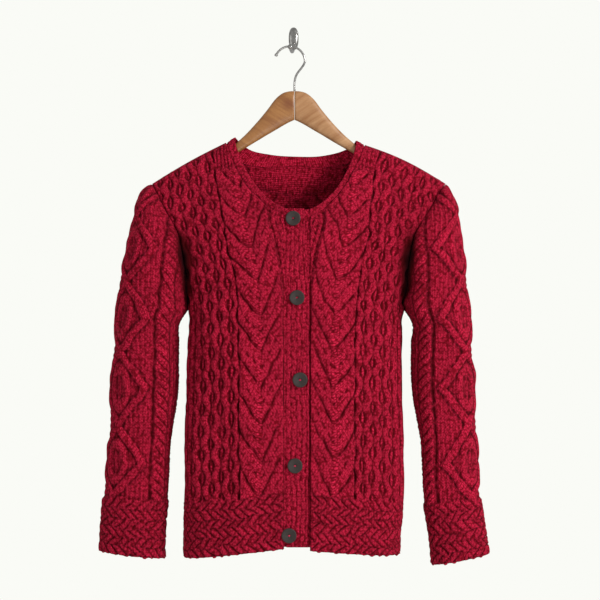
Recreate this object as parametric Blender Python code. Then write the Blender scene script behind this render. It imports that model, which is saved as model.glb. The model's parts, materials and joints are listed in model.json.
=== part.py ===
"""Aran cardigan, buttoned, on a wooden hanger that hangs from a wall hook.

Lengths in the tables are millimetres. The origin is the centre of the back
face of the hook plate, on the wall. Z is up and the front faces minus Y.
Row position r runs 0 at hem or cuff, 1 at the underarm, 2 at the shoulder.
"""
import bpy
import bmesh
import numpy as np

MM = 0.001
GAP = 0.15
WALL = 3.0
HANG_Y = -50.0
AXIS_X = 3.0

SIDE_Y = -18.0
SEAM_FADE = 9.0
UNDERARM_FADE = 30.0
LATTICE_TOP = 80.0
LATTICE_ROW = 13.333
LATTICE_BAR = 16.0
PANEL_EDGE = 64.0
GUTTER = 4.0
COMB_PITCH = 15.5
COMB_REPEAT = 33.0
COMB_SHIFT = 3.0
V_REPEAT = 52.0
V_COLUMN = 8.0
DIAMOND_REPEAT = 105.0
DIAMOND_SHIFT = 24.0
DIAMOND_HALF = 40.0
ROPE_CENTRE = 66.0
ROPE_HALF = 8.0
SLEEVE_RIB_START = 84.0
SEAM_CLEAR = 5.0
CAP_TIP = 1.8
SLEEVE_RIB_PITCH = 16.0
CUFF_TOP = 84.0
FRONT_POWER = 2.3
OUTSIDE_POWER = 2.2
BAR_TOP = 3.6
BAR_DIP = 0.9
STRAND_TOP = 3.8
STRAND_JOIN = 2.4
ARM_HEIGHTS = (0.6, 3.6, 2.8, 4.0)
RIB_TOP = 1.8
RIB_DIP = 0.3
DIAMOND_TOP = 4.0
LOOP_TOP = 2.6
FIELD_TOP = 0.8
ROPE_TOP = 3.6
ROPE_DIP = 2.4
BODY_LOW = 361.0
FRONT_HIGH = 258.0
BACK_CENTRE = 8.0
SHOULDER_RISE = {"right": 2.5, "left": 5.5}
NECK_RISE = {"right": 5.0, "left": 0.0}
LEFT_CUFF_DROP = (4.5, 9.5)
CUFF_REACH = 0.45
SLEEVE_LOW = 360.0

BACK_NECK_F = 0.47
NECK_SHARE = {"right": 0.488, "left": 0.459}
NECK_CORNER = 1.444
NECK_GAP = 0.45
NECK_SLACK = 0.002
SLEEVE_HIGH = 210.0

BUTTON_RADIUS = 11.0
BUTTON_SEAT = 0.5
BAND_RIB = 1.5
BAND_LOW = -764.0
BAND_HIGH = -270.5
BUTTON_SIDES = 14
HOOK_WIRE_RADIUS = 1.65
ARM_DROP = 4.0
TUBE_SIDES = 8

# r, x, y, z of the seam between front and bands, then along the neck seam.
FRONT_INNER = {
    "right": (
        (0.0, -18.0, -91.0, -767.0), (0.5, -18.0, -91.0, -584.0),
        (1.0, -18.0, -89.0, -405.0), (1.234, -18.0, -79.0, -339.0),
        (1.444, -18.0, -67.0, -281.0), (1.542, -41.8, -58.0, -268.2),
        (1.616, -56.7, -51.0, -254.6), (1.690, -70.2, -43.0, -240.9),
        (1.782, -83.8, -33.0, -220.0), (1.870, -94.5, -22.0, -198.5),
        (1.954, -102.4, -12.0, -177.0), (2.0, -105.8, 0.0, -169.0),
    ),
    "left": (
        (0.0, 19.8, -86.0, -770.5), (0.5, 19.8, -86.0, -584.0),
        (1.0, 19.8, -84.0, -405.0), (1.234, 19.8, -75.0, -339.0),
        (1.444, 19.8, -63.0, -283.0), (1.542, 40.6, -56.0, -271.0),
        (1.616, 53.9, -50.0, -259.0), (1.690, 67.4, -42.0, -242.3),
        (1.782, 79.5, -32.0, -222.5), (1.870, 90.2, -21.0, -201.0),
        (1.954, 99.5, -12.0, -180.0), (2.0, 102.8, 0.0, -172.5),
    ),
}
# r, x, z of the side seam below the underarm.
SIDE = {
    "right": (
        (0.0, -164.0, -785.5), (0.22, -162.5, -705.0), (0.46, -162.5, -614.0),
        (0.66, -160.0, -542.0), (0.83, -158.5, -480.0), (0.95, -157.0, -435.0),
        (1.0, -161.0, -417.0),
    ),
    "left": (
        (0.0, 149.0, -781.0), (0.22, 154.5, -705.0), (0.46, 155.5, -614.0),
        (0.66, 153.0, -542.0), (0.83, 153.0, -480.0), (0.95, 155.5, -435.0),
        (1.0, 160.0, -417.0),
    ),
}
# r, x, front y, back y, z of the armhole seam; x is for the right side.
ARMHOLE = (
    (1.0, -161.0, -18.0, -18.0, -417.0), (1.134, -162.0, -32.0, -4.0, -390.0),
    (1.334, -166.0, -45.0, 10.0, -349.0), (1.523, -174.6, -50.0, 17.0, -309.0),
    (1.726, -194.0, -37.0, 18.0, -271.7), (1.887, -208.0, -19.0, 13.0, -246.5),
    (1.95, -213.0, -11.0, 8.5, -236.5), (2.0, -216.8, 0.0, 0.0, -231.0),
)
# r, direction out of the armhole groove at front, and depth of the mitre.
GROOVE = (
    (1.0, 0.0, 0.0, -1.0, 6.0), (1.134, 0.0, -0.75, -0.65, 5.5),
    (1.334, -0.1, -1.0, -0.2, 5.0), (1.523, -0.15, -1.0, 0.0, 4.5),
    (1.726, -0.25, -0.9, 0.35, 4.0), (1.887, -0.3, -0.6, 0.75, 3.6),
    (2.0, -0.35, 0.0, 0.94, 3.2),
)
# r, u of the inner edge: how far the knit columns lean outwards.
LEAN = (
    (0.0, 0.0), (0.75, 0.0), (1.0, -2.0), (1.2, -9.0), (1.37, -20.0),
    (1.444, -25.0), (1.542, -3.0), (1.616, 9.0), (1.69, 20.0),
    (1.782, 30.0), (1.87, 37.0), (2.0, 42.0),
)
# r, power and sweep in degrees of the bow between inner and outer edge.
FRONT_BOW = (
    (0.0, 2.9, 90.0), (0.9, 2.8, 90.0), (1.0, 2.7, 84.0), (1.15, 2.6, 66.0),
    (1.5, 2.4, 60.0), (2.0, 2.2, 60.0),
)
# r, y, z along the centre of the back.
BACK_CENTRE_LINE = (
    (0.0, 40.0, -778.0), (0.5, 44.0, -595.0), (1.0, 44.0, -412.0),
    (1.5, 38.0, -308.0), (2.0, 28.0, -201.0),
)
# share of the way from centre to shoulder tip, rise of the top edge over a
# straight line, and y of the top edge.
BACK_TOP = (
    (0.0, 0.0, 28.0), (0.2, 2.0, 26.0), (0.36, 12.0, 19.0),
    (0.42, 25.0, 15.0), (0.455, 37.0, 9.0), (0.47, 41.0, 0.0),
    (0.7, 23.0, 0.0), (1.0, 0.0, 0.0),
)
# r, outer x right, outer x left, inner x right, inner x left, z outer,
# z inner, y of front apex, y of back apex.
SLEEVE = (
    (0.0, -290.0, 283.0, -199.0, 205.0, -777.5, -788.5, -47.0, 10.0),
    (0.1, -288.5, 278.0, -199.0, 201.0, -742.0, -750.0, -48.0, 12.0),
    (0.24, -284.0, 270.5, -193.5, 192.0, -690.0, -696.0, -51.0, 16.0),
    (0.45, -277.0, 266.5, -189.0, 187.0, -614.0, -617.0, -56.0, 21.0),
    (0.64, -274.0, 262.5, -178.5, 174.5, -542.0, -543.0, -62.0, 26.0),
    (0.84, -268.5, 258.5, -177.0, 172.5, -470.5, -471.0, -68.0, 31.0),
    (0.94, -267.0, 256.5, -175.0, 173.5, -435.0, -438.0, -71.0, 33.0),
    (1.0, -265.5, 255.0, -161.0, 160.0, -413.0, -417.0, -72.0, 34.0),
    (1.134, -262.0, 252.0, -162.0, 162.0, -385.0, -390.0, -72.0, 35.0),
    (1.334, -255.5, 249.0, -166.0, 166.0, -345.0, -349.0, -70.0, 36.0),
    (1.523, -246.0, 242.0, -174.6, 175.0, -308.0, -309.0, -64.0, 34.0),
    (1.726, -238.5, 238.0, -194.0, 197.0, -271.0, -271.7, -47.0, 28.0),
    (1.887, -229.0, 229.5, -208.0, 213.0, -244.5, -245.5, -26.0, 20.0),
    (2.0, -217.5, 224.5, -216.8, 224.0, -231.5, -231.0, -1.0, 1.0),
)
# free edge of the neckband from front corner to shoulder: share, x, y, z.
NECK_FREE = {
    "right": (
        (0.0, -18.2, -68.0, -269.3), (0.13, -30.7, -62.5, -262.5),
        (0.3, -44.8, -55.0, -251.9), (0.47, -58.3, -46.0, -236.6),
        (0.65, -71.8, -35.0, -216.5), (0.8, -82.9, -22.0, -194.0),
        (0.93, -91.0, -12.0, -170.5), (1.0, -93.0, 0.0, -159.5),
    ),
    "left": (
        (0.0, 20.0, -65.0, -271.0), (0.13, 30.0, -61.0, -266.5),
        (0.3, 42.5, -55.0, -257.5), (0.47, 56.0, -47.0, -243.5),
        (0.65, 69.0, -36.0, -224.0), (0.8, 80.5, -22.0, -200.0),
        (0.93, 88.0, -12.0, -175.5), (1.0, 90.0, 0.0, -164.5),
    ),
}
# signed share of the back neck from right to left: x, y, z.
NECK_FREE_BACK = (
    (-1.0, -93.0, 0.0, -159.5), (-0.9, -87.0, 12.0, -166.0),
    (-0.7, -71.0, 18.0, -178.0), (-0.4, -41.0, 24.5, -185.0),
    (0.0, 0.0, 27.0, -188.0), (0.4, 40.0, 24.5, -187.0),
    (0.7, 70.0, 18.0, -180.0), (0.9, 85.0, 12.0, -171.5),
    (1.0, 90.0, 0.0, -164.5),
)
# z, x of the free edge of the top band.
BAND_FREE = (
    (-764.0, 15.5), (-579.0, 18.5), (-405.0, 18.0), (-320.0, 12.0),
    (-270.0, 11.5),
)
UNDER_FREE = ((-766.0, -14.0), (-270.0, -14.0))
# x, z of button centres.
BUTTONS = (
    (-4.9, -285.5), (0.9, -402.0), (5.3, -521.0), (-2.0, -646.0), (-10.7, -747.5),
)
# x from the hanger centre, upper z, lower z of a wooden arm, half depth.
ARM = (
    (0.2, -91.5, -135.0, 7.0), (8.0, -92.0, -138.5, 7.0),
    (18.0, -95.0, -144.0, 7.0), (28.0, -103.0, -150.0, 7.0),
    (41.0, -120.0, -157.5, 7.0), (55.0, -137.0, -166.0, 7.0),
    (74.0, -157.0, -177.0, 5.8), (88.0, -169.3, -185.0, 5.4),
    (105.0, -183.4, -197.0, 5.8), (140.0, -197.6, -213.0, 6.2),
    (172.0, -215.0, -230.0, 5.6), (184.0, -223.6, -235.0, 3.8),
)
# x, z of the hook wire from the wood to the tip.
HOOK_STEM = (
    (0.0, -91.1), (0.0, -80.0), (1.2, -72.0), (4.0, -65.5), (10.0, -57.5),
    (14.2, -51.5),
)
HOOK_CENTRE = (-7.0, -47.0)
HOOK_RADIUS = 22.5
PRONG = (
    (-1.5, -5.4, -16.6, 2.9), (-1.5, -8.6, -16.6, 2.9), (-1.8, -12.0, -20.5, 2.8),
    (-2.6, -20.0, -27.5, 2.6), (-4.0, -34.0, -30.5, 2.5),
    (-5.6, -50.0, -29.1, 2.5), (-6.1, -57.5, -27.2, 2.5),
    (-6.2, -58.6, -27.0, 3.3), (-6.3, -61.5, -26.6, 4.0),
    (-6.4, -64.4, -26.2, 3.3), (-6.5, -65.6, -26.0, 1.2),
)

MATERIALS = {
    "red_wool": ((0.30, 0.012, 0.03, 1.0), 0.95, 0.0),
    "dark_button": ((0.045, 0.028, 0.022, 1.0), 0.5, 0.0),
    "tan_wood": ((0.52, 0.28, 0.12, 1.0), 0.45, 0.0),
    "bright_wire": ((0.70, 0.70, 0.68, 1.0), 0.25, 1.0),
    "hook_steel": ((0.60, 0.60, 0.58, 1.0), 0.25, 1.0),
}


def smooth(table, t):
    """Values of a table at t by smooth interpolation; first column is t."""
    data = np.array(table, dtype=float)
    knots = data[:, 0]
    values = data[:, 1:]
    steps = np.diff(knots)[:, None]
    slopes = np.diff(values, axis=0) / steps
    tangents = np.empty_like(values)
    tangents[0] = slopes[0]
    tangents[-1] = slopes[-1]
    total = steps[1:] + steps[:-1]
    tangents[1:-1] = (steps[1:] * slopes[:-1] + steps[:-1] * slopes[1:]) / total
    place = np.clip(np.atleast_1d(np.asarray(t, dtype=float)), knots[0], knots[-1])
    cell = np.clip(np.searchsorted(knots, place) - 1, 0, len(knots) - 2)
    width = steps[cell]
    local = ((place - knots[cell])[:, None]) / width
    square = local * local
    cube = square * local
    result = (2 * cube - 3 * square + 1) * values[cell]
    result += (cube - 2 * square + local) * width * tangents[cell]
    result += (3 * square - 2 * cube) * values[cell + 1]
    result += (cube - square) * width * tangents[cell + 1]
    return result


def linear(table, t):
    """Values of a table at t by straight interpolation."""
    data = np.array(table, dtype=float)
    places = np.atleast_1d(t)
    columns = [np.interp(places, data[:, 0], data[:, k]) for k in range(1, data.shape[1])]
    return np.stack(columns, axis=1)


def unit(vectors):
    """Unit vectors of the last axis."""
    length = np.linalg.norm(vectors, axis=-1, keepdims=True)
    return vectors / np.maximum(length, 1e-9)


def bow(inner, outer, power, sweep):
    """A bowed line: flat at the inner point, turned back at the outer one."""
    angle = np.radians(sweep) * np.linspace(0.0, 1.0, 161) ** 1.4
    across = np.sin(angle) ** (2.0 / power)
    depth = np.cos(angle) ** (2.0 / power)
    across = across / across[-1]
    depth = (depth - depth[-1]) / (1.0 - depth[-1])
    line = np.empty((len(angle), 3))
    line[:, 0] = inner[0] + (outer[0] - inner[0]) * across
    line[:, 1] = outer[1] + (inner[1] - outer[1]) * depth
    line[:, 2] = inner[2] + (outer[2] - inner[2]) * across
    return line


def shoulder_rise(side, share):
    """Rise of the shoulder over a straight line, at shares from neck to tip."""
    return SHOULDER_RISE[side] * np.sin(np.pi * np.clip(share, 0.0, 1.0))


def armhole(side, r, back):
    """Point of the armhole seam."""
    x, front_y, back_y, z = smooth(ARMHOLE, r)[0]
    if side == "left":
        x = smooth([(row[0], row[4]) for row in SLEEVE], r)[0][0]
    return np.array([x, back_y if back else front_y, z])


def outer_edge(side, r, back):
    """Point of the side seam, or of the armhole seam above the underarm."""
    if r <= 1.0:
        x, z = smooth(SIDE[side], r)[0]
        return np.array([x, SIDE_Y, z])
    return armhole(side, r, back)


def front_line(side, r):
    """Row of a front from the inner edge to the outer edge."""
    inner = smooth(FRONT_INNER[side], r)[0]
    if 1.234 < r < 1.444:
        inner = linear(FRONT_INNER[side], r)[0]
    power, sweep = linear(FRONT_BOW, r)[0]
    outer = outer_edge(side, r, False)
    line = bow(inner, outer, power, sweep)
    if r > 1.0:
        share = (line[:, 0] - inner[0]) / (outer[0] - inner[0])
        line[:, 2] += shoulder_rise(side, share) * (r - 1.0) ** 2
    return line


def back_line(side, r):
    """Row of one half of the back from its centre to the outer edge."""
    y, z = smooth(BACK_CENTRE_LINE, r)[0]
    outer = outer_edge(side, r, True)
    power, sweep = linear(FRONT_BOW, r)[0]
    line = bow(np.array([0.0, y, z]), outer, power, sweep)
    if r > 1.0:
        share = np.abs(line[:, 0]) / abs(line[-1, 0])
        warped = np.interp(share, (0.0, NECK_SHARE[side], 1.0), (0.0, BACK_NECK_F, 1.0))
        top = linear(BACK_TOP, warped)
        rise = top[:, 0] + shoulder_rise(side, (warped - BACK_NECK_F) / (1.0 - BACK_NECK_F))
        rise += NECK_RISE[side] * np.interp(warped, (0.36, BACK_NECK_F, 1.0), (0.0, 1.0, 0.0))
        line[:, 2] += rise * (r - 1.0) ** 2
        blend = (r - 1.0) ** 8 * (1.0 - share ** 6)
        line[:, 1] = line[:, 1] * (1.0 - blend) + top[:, 1] * blend
    return line


def sleeve_line(side, r):
    """Row of a sleeve from the front seam round the arm to the back seam."""
    values = smooth(SLEEVE, r)[0]
    out_x = values[0] if side == "right" else values[1]
    in_x = values[2] if side == "right" else values[3]
    out_z, in_z, front_y, back_y = values[4:8]
    if side == "left":
        drop = max(1.0 - r / CUFF_REACH, 0.0)
        out_z -= LEFT_CUFF_DROP[0] * drop
        in_z -= LEFT_CUFF_DROP[1] * drop
    outer = np.array([out_x, 0.5 * (front_y + back_y), out_z])
    start = np.array([in_x, SIDE_Y, in_z])
    end = start
    sweep = 90.0
    if r >= 1.0:
        start = armhole(side, r, False)
        end = armhole(side, r, True)
        sweep = np.interp(r, (1.0, 1.2, 2.0), (84.0, 62.0, 60.0))
    middle = 0.5 * (in_x + out_x)
    front = np.array([middle, front_y, 0.5 * (start[2] + out_z)])
    rear = np.array([middle, back_y, 0.5 * (end[2] + out_z)])
    parts = [
        bow(front, start, FRONT_POWER, sweep)[::-1],
        bow(front, outer, OUTSIDE_POWER, 90.0)[1:],
        bow(rear, outer, OUTSIDE_POWER, 90.0)[::-1][1:],
        bow(rear, end, FRONT_POWER, sweep)[1:],
    ]
    lengths = [length_of(part)[-1] for part in parts]
    return np.concatenate(parts), lengths[0] + 0.5 * lengths[1]


def length_of(line):
    """Running length of a line."""
    steps = np.linalg.norm(np.diff(line, axis=0), axis=1)
    return np.concatenate([[0.0], np.cumsum(steps)])


def walk(line, shares):
    """Points at shares of the length of a line."""
    run = length_of(line)
    places = np.asarray(shares) * run[-1]
    return np.stack([np.interp(places, run, line[:, k]) for k in range(3)], axis=1)


def row_frame(line_at, r, shares, turn):
    """Points and outward unit normals of a row at shares of its length."""
    step = 0.004
    low = max(r - step, 0.0)
    high = min(r + step, 2.0)
    ahead = np.minimum(np.asarray(shares) + 0.004, 1.0)
    behind = np.maximum(np.asarray(shares) - 0.004, 0.0)
    line = line_at(r)
    along = walk(line, ahead) - walk(line, behind)
    up = walk(line_at(high), shares) - walk(line_at(low), shares)
    normals = unit(np.cross(along, up)) * turn
    return walk(line, shares), normals


def wave(u, v, centre, width):
    """Rounded strand profile over the distance from its centre line."""
    reach = np.clip(1.0 - ((u - centre) / width) ** 2, 0.0, None)
    return np.sqrt(reach)


def body_relief(u, v):
    """Height of the knitted cables of a front or half back, in millimetres."""
    u = np.asarray(u, dtype=float)
    column = np.rint(u / (0.5 * COMB_PITCH)).astype(int)
    if v < LATTICE_TOP:
        bar = np.rint(u / (0.5 * LATTICE_BAR)).astype(int)
        row = int(round(v / LATTICE_ROW))
        return np.where((bar + row) % 2 == 0, BAR_TOP, BAR_DIP)
    comb_row = int(round((v - LATTICE_TOP) / (0.5 * COMB_REPEAT)))
    between = (column % 2) == 0
    closed = ((column // 2 + comb_row) % 2) == 1
    comb = np.where(between, np.where(closed, STRAND_JOIN, 0.0), STRAND_TOP)
    step = np.rint(np.abs(u - 0.5 * PANEL_EDGE) / V_COLUMN).astype(int)
    v_row = int(round((v - LATTICE_TOP) / (0.25 * V_REPEAT)))
    height = np.array(ARM_HEIGHTS)[(v_row - step) % 4]
    rib = np.where(column % 2 == 0, RIB_DIP, RIB_TOP)
    relief = np.where(u < 0.0, rib, height)
    return np.where(u > PANEL_EDGE + 0.5 * GUTTER, comb, relief)


def sleeve_relief(u, v):
    """Height of the knitted cables of a sleeve, in millimetres."""
    u = np.asarray(u, dtype=float)
    if v < LATTICE_TOP:
        bar = np.rint(u / (0.5 * LATTICE_BAR)).astype(int)
        row = int(round(v / LATTICE_ROW))
        return np.where((bar + row) % 2 == 0, BAR_TOP, BAR_DIP)
    row = int(round((v + DIAMOND_SHIFT) / (DIAMOND_REPEAT / 8.0)))
    half = DIAMOND_HALF * (1.0 - abs((row % 8) - 4) / 4.0)
    on_strand = np.abs(np.abs(u) - half) < 2.0
    loop = (np.abs(u) < 3.0) & (abs((row % 8) - 4) == 1)
    field = np.where(on_strand, DIAMOND_TOP, np.where(loop, LOOP_TOP, FIELD_TOP))
    twist = ROPE_TOP if row % 2 else ROPE_DIP
    rope = np.where(np.abs(np.abs(u) - ROPE_CENTRE) < 2.0, twist, 0.0)
    number = np.rint((u - SLEEVE_RIB_START) / SLEEVE_RIB_PITCH).astype(int)
    rib = np.where(number % 2 == 0, RIB_TOP, RIB_DIP)
    relief = np.where(np.abs(u) < DIAMOND_HALF + 7.0, field, rope)
    return np.where(np.abs(u) > ROPE_CENTRE + 9.0, rib, relief)


class Solid:
    """Points and faces of one closed body."""

    def __init__(self):
        self.points = []
        self.faces = []

    def add(self, points):
        """Adds points and returns their numbers."""
        start = len(self.points)
        self.points.extend([tuple(point) for point in points])
        return list(range(start, len(self.points)))

    def zip(self, first, first_at, second, second_at):
        """Joins two lines of points by triangles in step with their places."""
        i = 0
        j = 0
        while i < len(first) - 1 or j < len(second) - 1:
            take_first = j == len(second) - 1
            if not take_first and i < len(first) - 1:
                ahead = abs(first_at[i + 1] - second_at[j])
                other = abs(second_at[j + 1] - first_at[i])
                take_first = ahead < other
            if take_first:
                self.tri(first[i], first[i + 1], second[j])
                i += 1
            else:
                self.tri(first[i], second[j + 1], second[j])
                j += 1

    def tri(self, a, b, c):
        """Adds a triangle unless two corners are the same point."""
        if a != b and b != c and a != c:
            self.faces.append((a, b, c))

    def quad(self, a, b, c, d):
        """Adds a four-sided face."""
        self.faces.append((a, b, c, d))

    def build(self, name, material, shift=AXIS_X):
        """Makes the object, welded, closed and facing out."""
        mesh = bpy.data.meshes.new(name)
        points = np.array(self.points, dtype=float)
        points += np.array([shift, HANG_Y, 0.0])
        mesh.from_pydata([tuple(point) for point in points * MM], [], self.faces)
        obj = bpy.data.objects.new(name, mesh)
        bpy.context.scene.collection.objects.link(obj)
        work = bmesh.new()
        work.from_mesh(mesh)
        bmesh.ops.remove_doubles(work, verts=work.verts, dist=1e-6)
        bmesh.ops.recalc_face_normals(work, faces=work.faces)
        for face in work.faces:
            face.smooth = True
        work.to_mesh(mesh)
        work.free()
        mesh.materials.append(material)
        return obj


def comb_rows(low, high, spacing, start):
    """Row positions spaced like the knit repeats from start to the top."""
    count_low = int(round((low - start) / spacing))
    count_high = int(round(high / spacing))
    lower = np.linspace(start / low, 1.0, count_low + 1)
    upper = np.linspace(1.0, 2.0, count_high + 1)[1:]
    return np.concatenate([lower, upper])


LATTICE_R = np.linspace(0.0, LATTICE_TOP / BODY_LOW, 7)
COMB_R = comb_rows(BODY_LOW, FRONT_HIGH, 0.5 * COMB_REPEAT, LATTICE_TOP + GUTTER)
PANEL_R = comb_rows(BODY_LOW, FRONT_HIGH, 0.25 * V_REPEAT, LATTICE_TOP + GUTTER)
INNER_R = np.concatenate([LATTICE_R[:6:3], COMB_R[COMB_R < 0.88][::2], COMB_R[COMB_R > 0.88]])


def height_at(r):
    """Length of the knit from the hem up to row r."""
    return r * BODY_LOW if r <= 1.0 else BODY_LOW + (r - 1.0) * FRONT_HIGH


def seam_shift(side, r, back):
    """Direction from the armhole seam to the body, and to the inner face."""
    step = 0.01
    low = armhole(side, max(r - step, 1.0), back)
    high = armhole(side, min(r + step, 2.0), back)
    tangent = unit(high - low)
    groove = smooth(GROOVE, r)[0]
    out = unit(groove[:3]) * np.array([1.0 if side == "right" else -1.0, 1.0, 1.0])
    if back:
        out[1] = -out[1]
    toward = unit(np.cross(tangent, out))
    inward = 1.0 if side == "right" else -1.0
    if toward[0] * inward < 0.0:
        toward = -toward
    return toward, -out * groove[3]


class Half:
    """One half of the body: a front, or one side of the back."""

    def __init__(self, solid, side, back):
        self.solid = solid
        self.side = side
        self.back = back
        self.line_at = lambda r: (back_line if back else front_line)(side, r)
        normal = row_frame(self.line_at, 0.5, [0.1], 1.0)[1][0]
        self.turn = 1.0 if (normal[1] > 0.0) == back else -1.0

    def inner_u(self, r):
        """Knit place of the inner edge of row r."""
        if self.back:
            return -BACK_CENTRE
        return linear(LEAN, r)[0][0]

    def points(self, r, places, raised):
        """Points of row r at knit places, with relief if raised."""
        line = self.line_at(r)
        total = length_of(line)[-1]
        start = self.inner_u(r)
        shares = np.clip((np.asarray(places) - start) / total, 0.0, 1.0)
        points, normals = row_frame(self.line_at, r, shares, self.turn)
        if not raised:
            return points - normals * WALL
        height = body_relief(places, height_at(r))
        if self.back:
            height = np.where(np.asarray(places) < 0.0, 1.2, height)
        edge = (1.0 - shares) * total
        reach = UNDERARM_FADE if abs(r - 1.0) < 0.09 else SEAM_FADE
        fade = np.clip(edge / reach, 0.0, 1.0)
        if not self.back:
            fade *= np.clip(shares * total / (0.5 * SEAM_FADE), 0.0, 1.0)
        fade *= np.clip((2.0 - r) * FRONT_HIGH / SEAM_FADE, 0.0, 1.0)
        return points + normals * (height * fade)[:, None]

    def outer_u(self, r):
        """Knit place of the outer edge of row r."""
        return self.inner_u(r) + length_of(self.line_at(r))[-1]

    def edge_pair(self, r):
        """Outer and inner point of the side or armhole seam at row r."""
        outer = outer_edge(self.side, r, self.back)
        away = GAP if self.back else -GAP
        inward = 1.0 if self.side == "right" else -1.0
        if r < 1.0:
            outer = outer + np.array([0.0, away, 0.0])
            return outer, outer + np.array([WALL * inward, 0.0, 0.0])
        toward, depth = seam_shift(self.side, r, self.back)
        shifted = outer + toward * GAP
        if r == 1.0 or r == 2.0:
            shifted = shifted + np.array([0.0, away, 0.0])
        if r == 1.0:
            depth = depth + np.array([WALL * inward, 0.0, -1.0])
        return shifted, shifted + depth

    def comb_places(self, r):
        """Knit places of the honeycomb part of row r before its edge."""
        last = self.outer_u(r) - GUTTER
        return np.arange(PANEL_EDGE + GUTTER, last, 0.5 * COMB_PITCH)


def outer_rows(half, centre=None):
    """Adds the outer face of one half and returns its rows of points."""
    solid = half.solid
    lattice = []
    for r in LATTICE_R:
        start = half.inner_u(r)
        count = int(round((half.outer_u(r) - start) / (0.5 * LATTICE_BAR)))
        places = np.linspace(start, half.outer_u(r), count + 1)
        snapped = np.rint(places / (0.5 * LATTICE_BAR)) * 0.5 * LATTICE_BAR
        snapped[0] = places[0]
        points = half.points(r, snapped[:-1], True)
        edge = half.edge_pair(r)[0]
        lattice.append((solid.add(list(points) + [edge]), list(snapped[:-1]) + [places[-1]]))
    panel = []
    for r in PANEL_R:
        start = half.inner_u(r)
        if half.back:
            places = np.arange(-BACK_CENTRE, PANEL_EDGE + 1.0, V_COLUMN)
        elif start < -6.0:
            extra = np.linspace(start, 0.0, 3)[:-1]
            places = np.concatenate([extra, np.arange(0.0, PANEL_EDGE + 1.0, V_COLUMN)])
        else:
            inside = np.arange(0.0, PANEL_EDGE + 1.0, V_COLUMN)
            places = np.concatenate([[start], inside[inside > start + 3.0]])
        panel.append((solid.add(half.points(r, places, True)), list(places)))
    comb = []
    for r in COMB_R:
        places = half.comb_places(r)
        row = int(round((height_at(r) - LATTICE_TOP) / (0.5 * COMB_REPEAT)))
        column = np.rint(places / (0.5 * COMB_PITCH)).astype(int)
        strand = column // 2
        sign = np.where((strand + row) % 2 == 0, 1.0, -1.0)
        moved = places + np.where(column % 2 == 1, sign * COMB_SHIFT, 0.0)
        moved[0] = places[0]
        points = list(half.points(r, moved, True))
        edge = half.edge_pair(r)[0]
        numbers = solid.add(points + [edge])
        comb.append((numbers, list(places) + [half.outer_u(r)]))
    if centre:
        for rows, shared in zip((lattice, panel), centre):
            for row, other in zip(rows, shared):
                row[0][0] = other[0][0]
    for rows in (lattice, panel, comb):
        for low, high in zip(rows[:-1], rows[1:]):
            solid.zip(low[0], low[1], high[0], high[1])
    panel_edge = [row[0][-1] for row in panel]
    comb_edge = [row[0][0] for row in comb]
    solid.zip(panel_edge, list(PANEL_R), comb_edge, list(COMB_R))
    bottom = panel[0][0] + comb[0][0]
    bottom_at = panel[0][1] + comb[0][1]
    solid.zip(lattice[-1][0], lattice[-1][1], bottom, bottom_at)
    return lattice, panel, comb


def neck_edge(solid, rows_r, rows):
    """Row positions and first points of the rows above the neck corner."""
    return [
        (r, np.array(solid.points[row[0][0]]))
        for r, row in zip(rows_r, rows) if r > NECK_CORNER - NECK_SLACK
    ]


def add_front(name, side, material):
    """One front: cable face outside, plain face inside, rims between."""
    solid = Solid()
    half = Half(solid, side, False)
    lattice, panel, comb = outer_rows(half)
    inner = inner_rows(half, (0.0, 0.3, 0.6, 0.82))
    outer_side = [row[0][-1] for row in lattice + comb]
    outer_r = list(LATTICE_R) + list(COMB_R)
    solid.zip(outer_side, outer_r, [row[0][-1] for row in inner], list(INNER_R))
    band_side = [row[0][0] for row in lattice + panel]
    band_r = list(LATTICE_R) + list(PANEL_R)
    inner_band = [row[0][0] for row in inner]
    solid.zip(band_side, band_r, inner_band, list(INNER_R))
    solid.zip(lattice[0][0], lattice[0][1], inner[0][0], inner[0][1])
    top = panel[-1][0] + comb[-1][0]
    top_at = panel[-1][1] + comb[-1][1]
    solid.zip(top, top_at, inner[-1][0], inner[-1][1])
    for number in top + inner[-1][0]:
        x, y, z = solid.points[number]
        solid.points[number] = (x, -GAP, z)
    solid.build(name, material)
    return neck_edge(solid, PANEL_R, panel), neck_edge(solid, INNER_R, inner)


def inner_rows(half, shares, centre=None, top_places=None):
    """Adds the plain inner face of one half and returns its rows of points."""
    solid = half.solid
    rows = []
    for r in INNER_R:
        start = half.inner_u(r)
        end = half.outer_u(r)
        marks = shares
        if r == 0.0:
            marks = np.linspace(0.0, 1.0, 13)[:-1]
        if r > 1.8 and half.back:
            marks = (0.0, 0.12, 0.24, 0.34, 0.42, 0.5, 0.6, 0.72, 0.84, 0.93)
        places = start + (end - start) * np.array(marks)
        if top_places is not None and r == 2.0:
            places = np.array(top_places[:-1])
        points = half.points(r, places, False)
        edge = half.edge_pair(r)[1]
        rows.append((solid.add(list(points) + [edge]), list(places) + [end]))
    if centre:
        for row, other in zip(rows, centre):
            row[0][0] = other[0][0]
    for low, high in zip(rows[:-1], rows[1:]):
        solid.zip(low[0], low[1], high[0], high[1])
    return rows


def top_share(side):
    """Share of the length of the top row of the back at the neck point."""
    line = back_line(side, 2.0)
    run = length_of(line)
    place = np.interp(abs(line[-1, 0]) * NECK_SHARE[side], np.abs(line[:, 0]), run)
    return place / run[-1]


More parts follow.
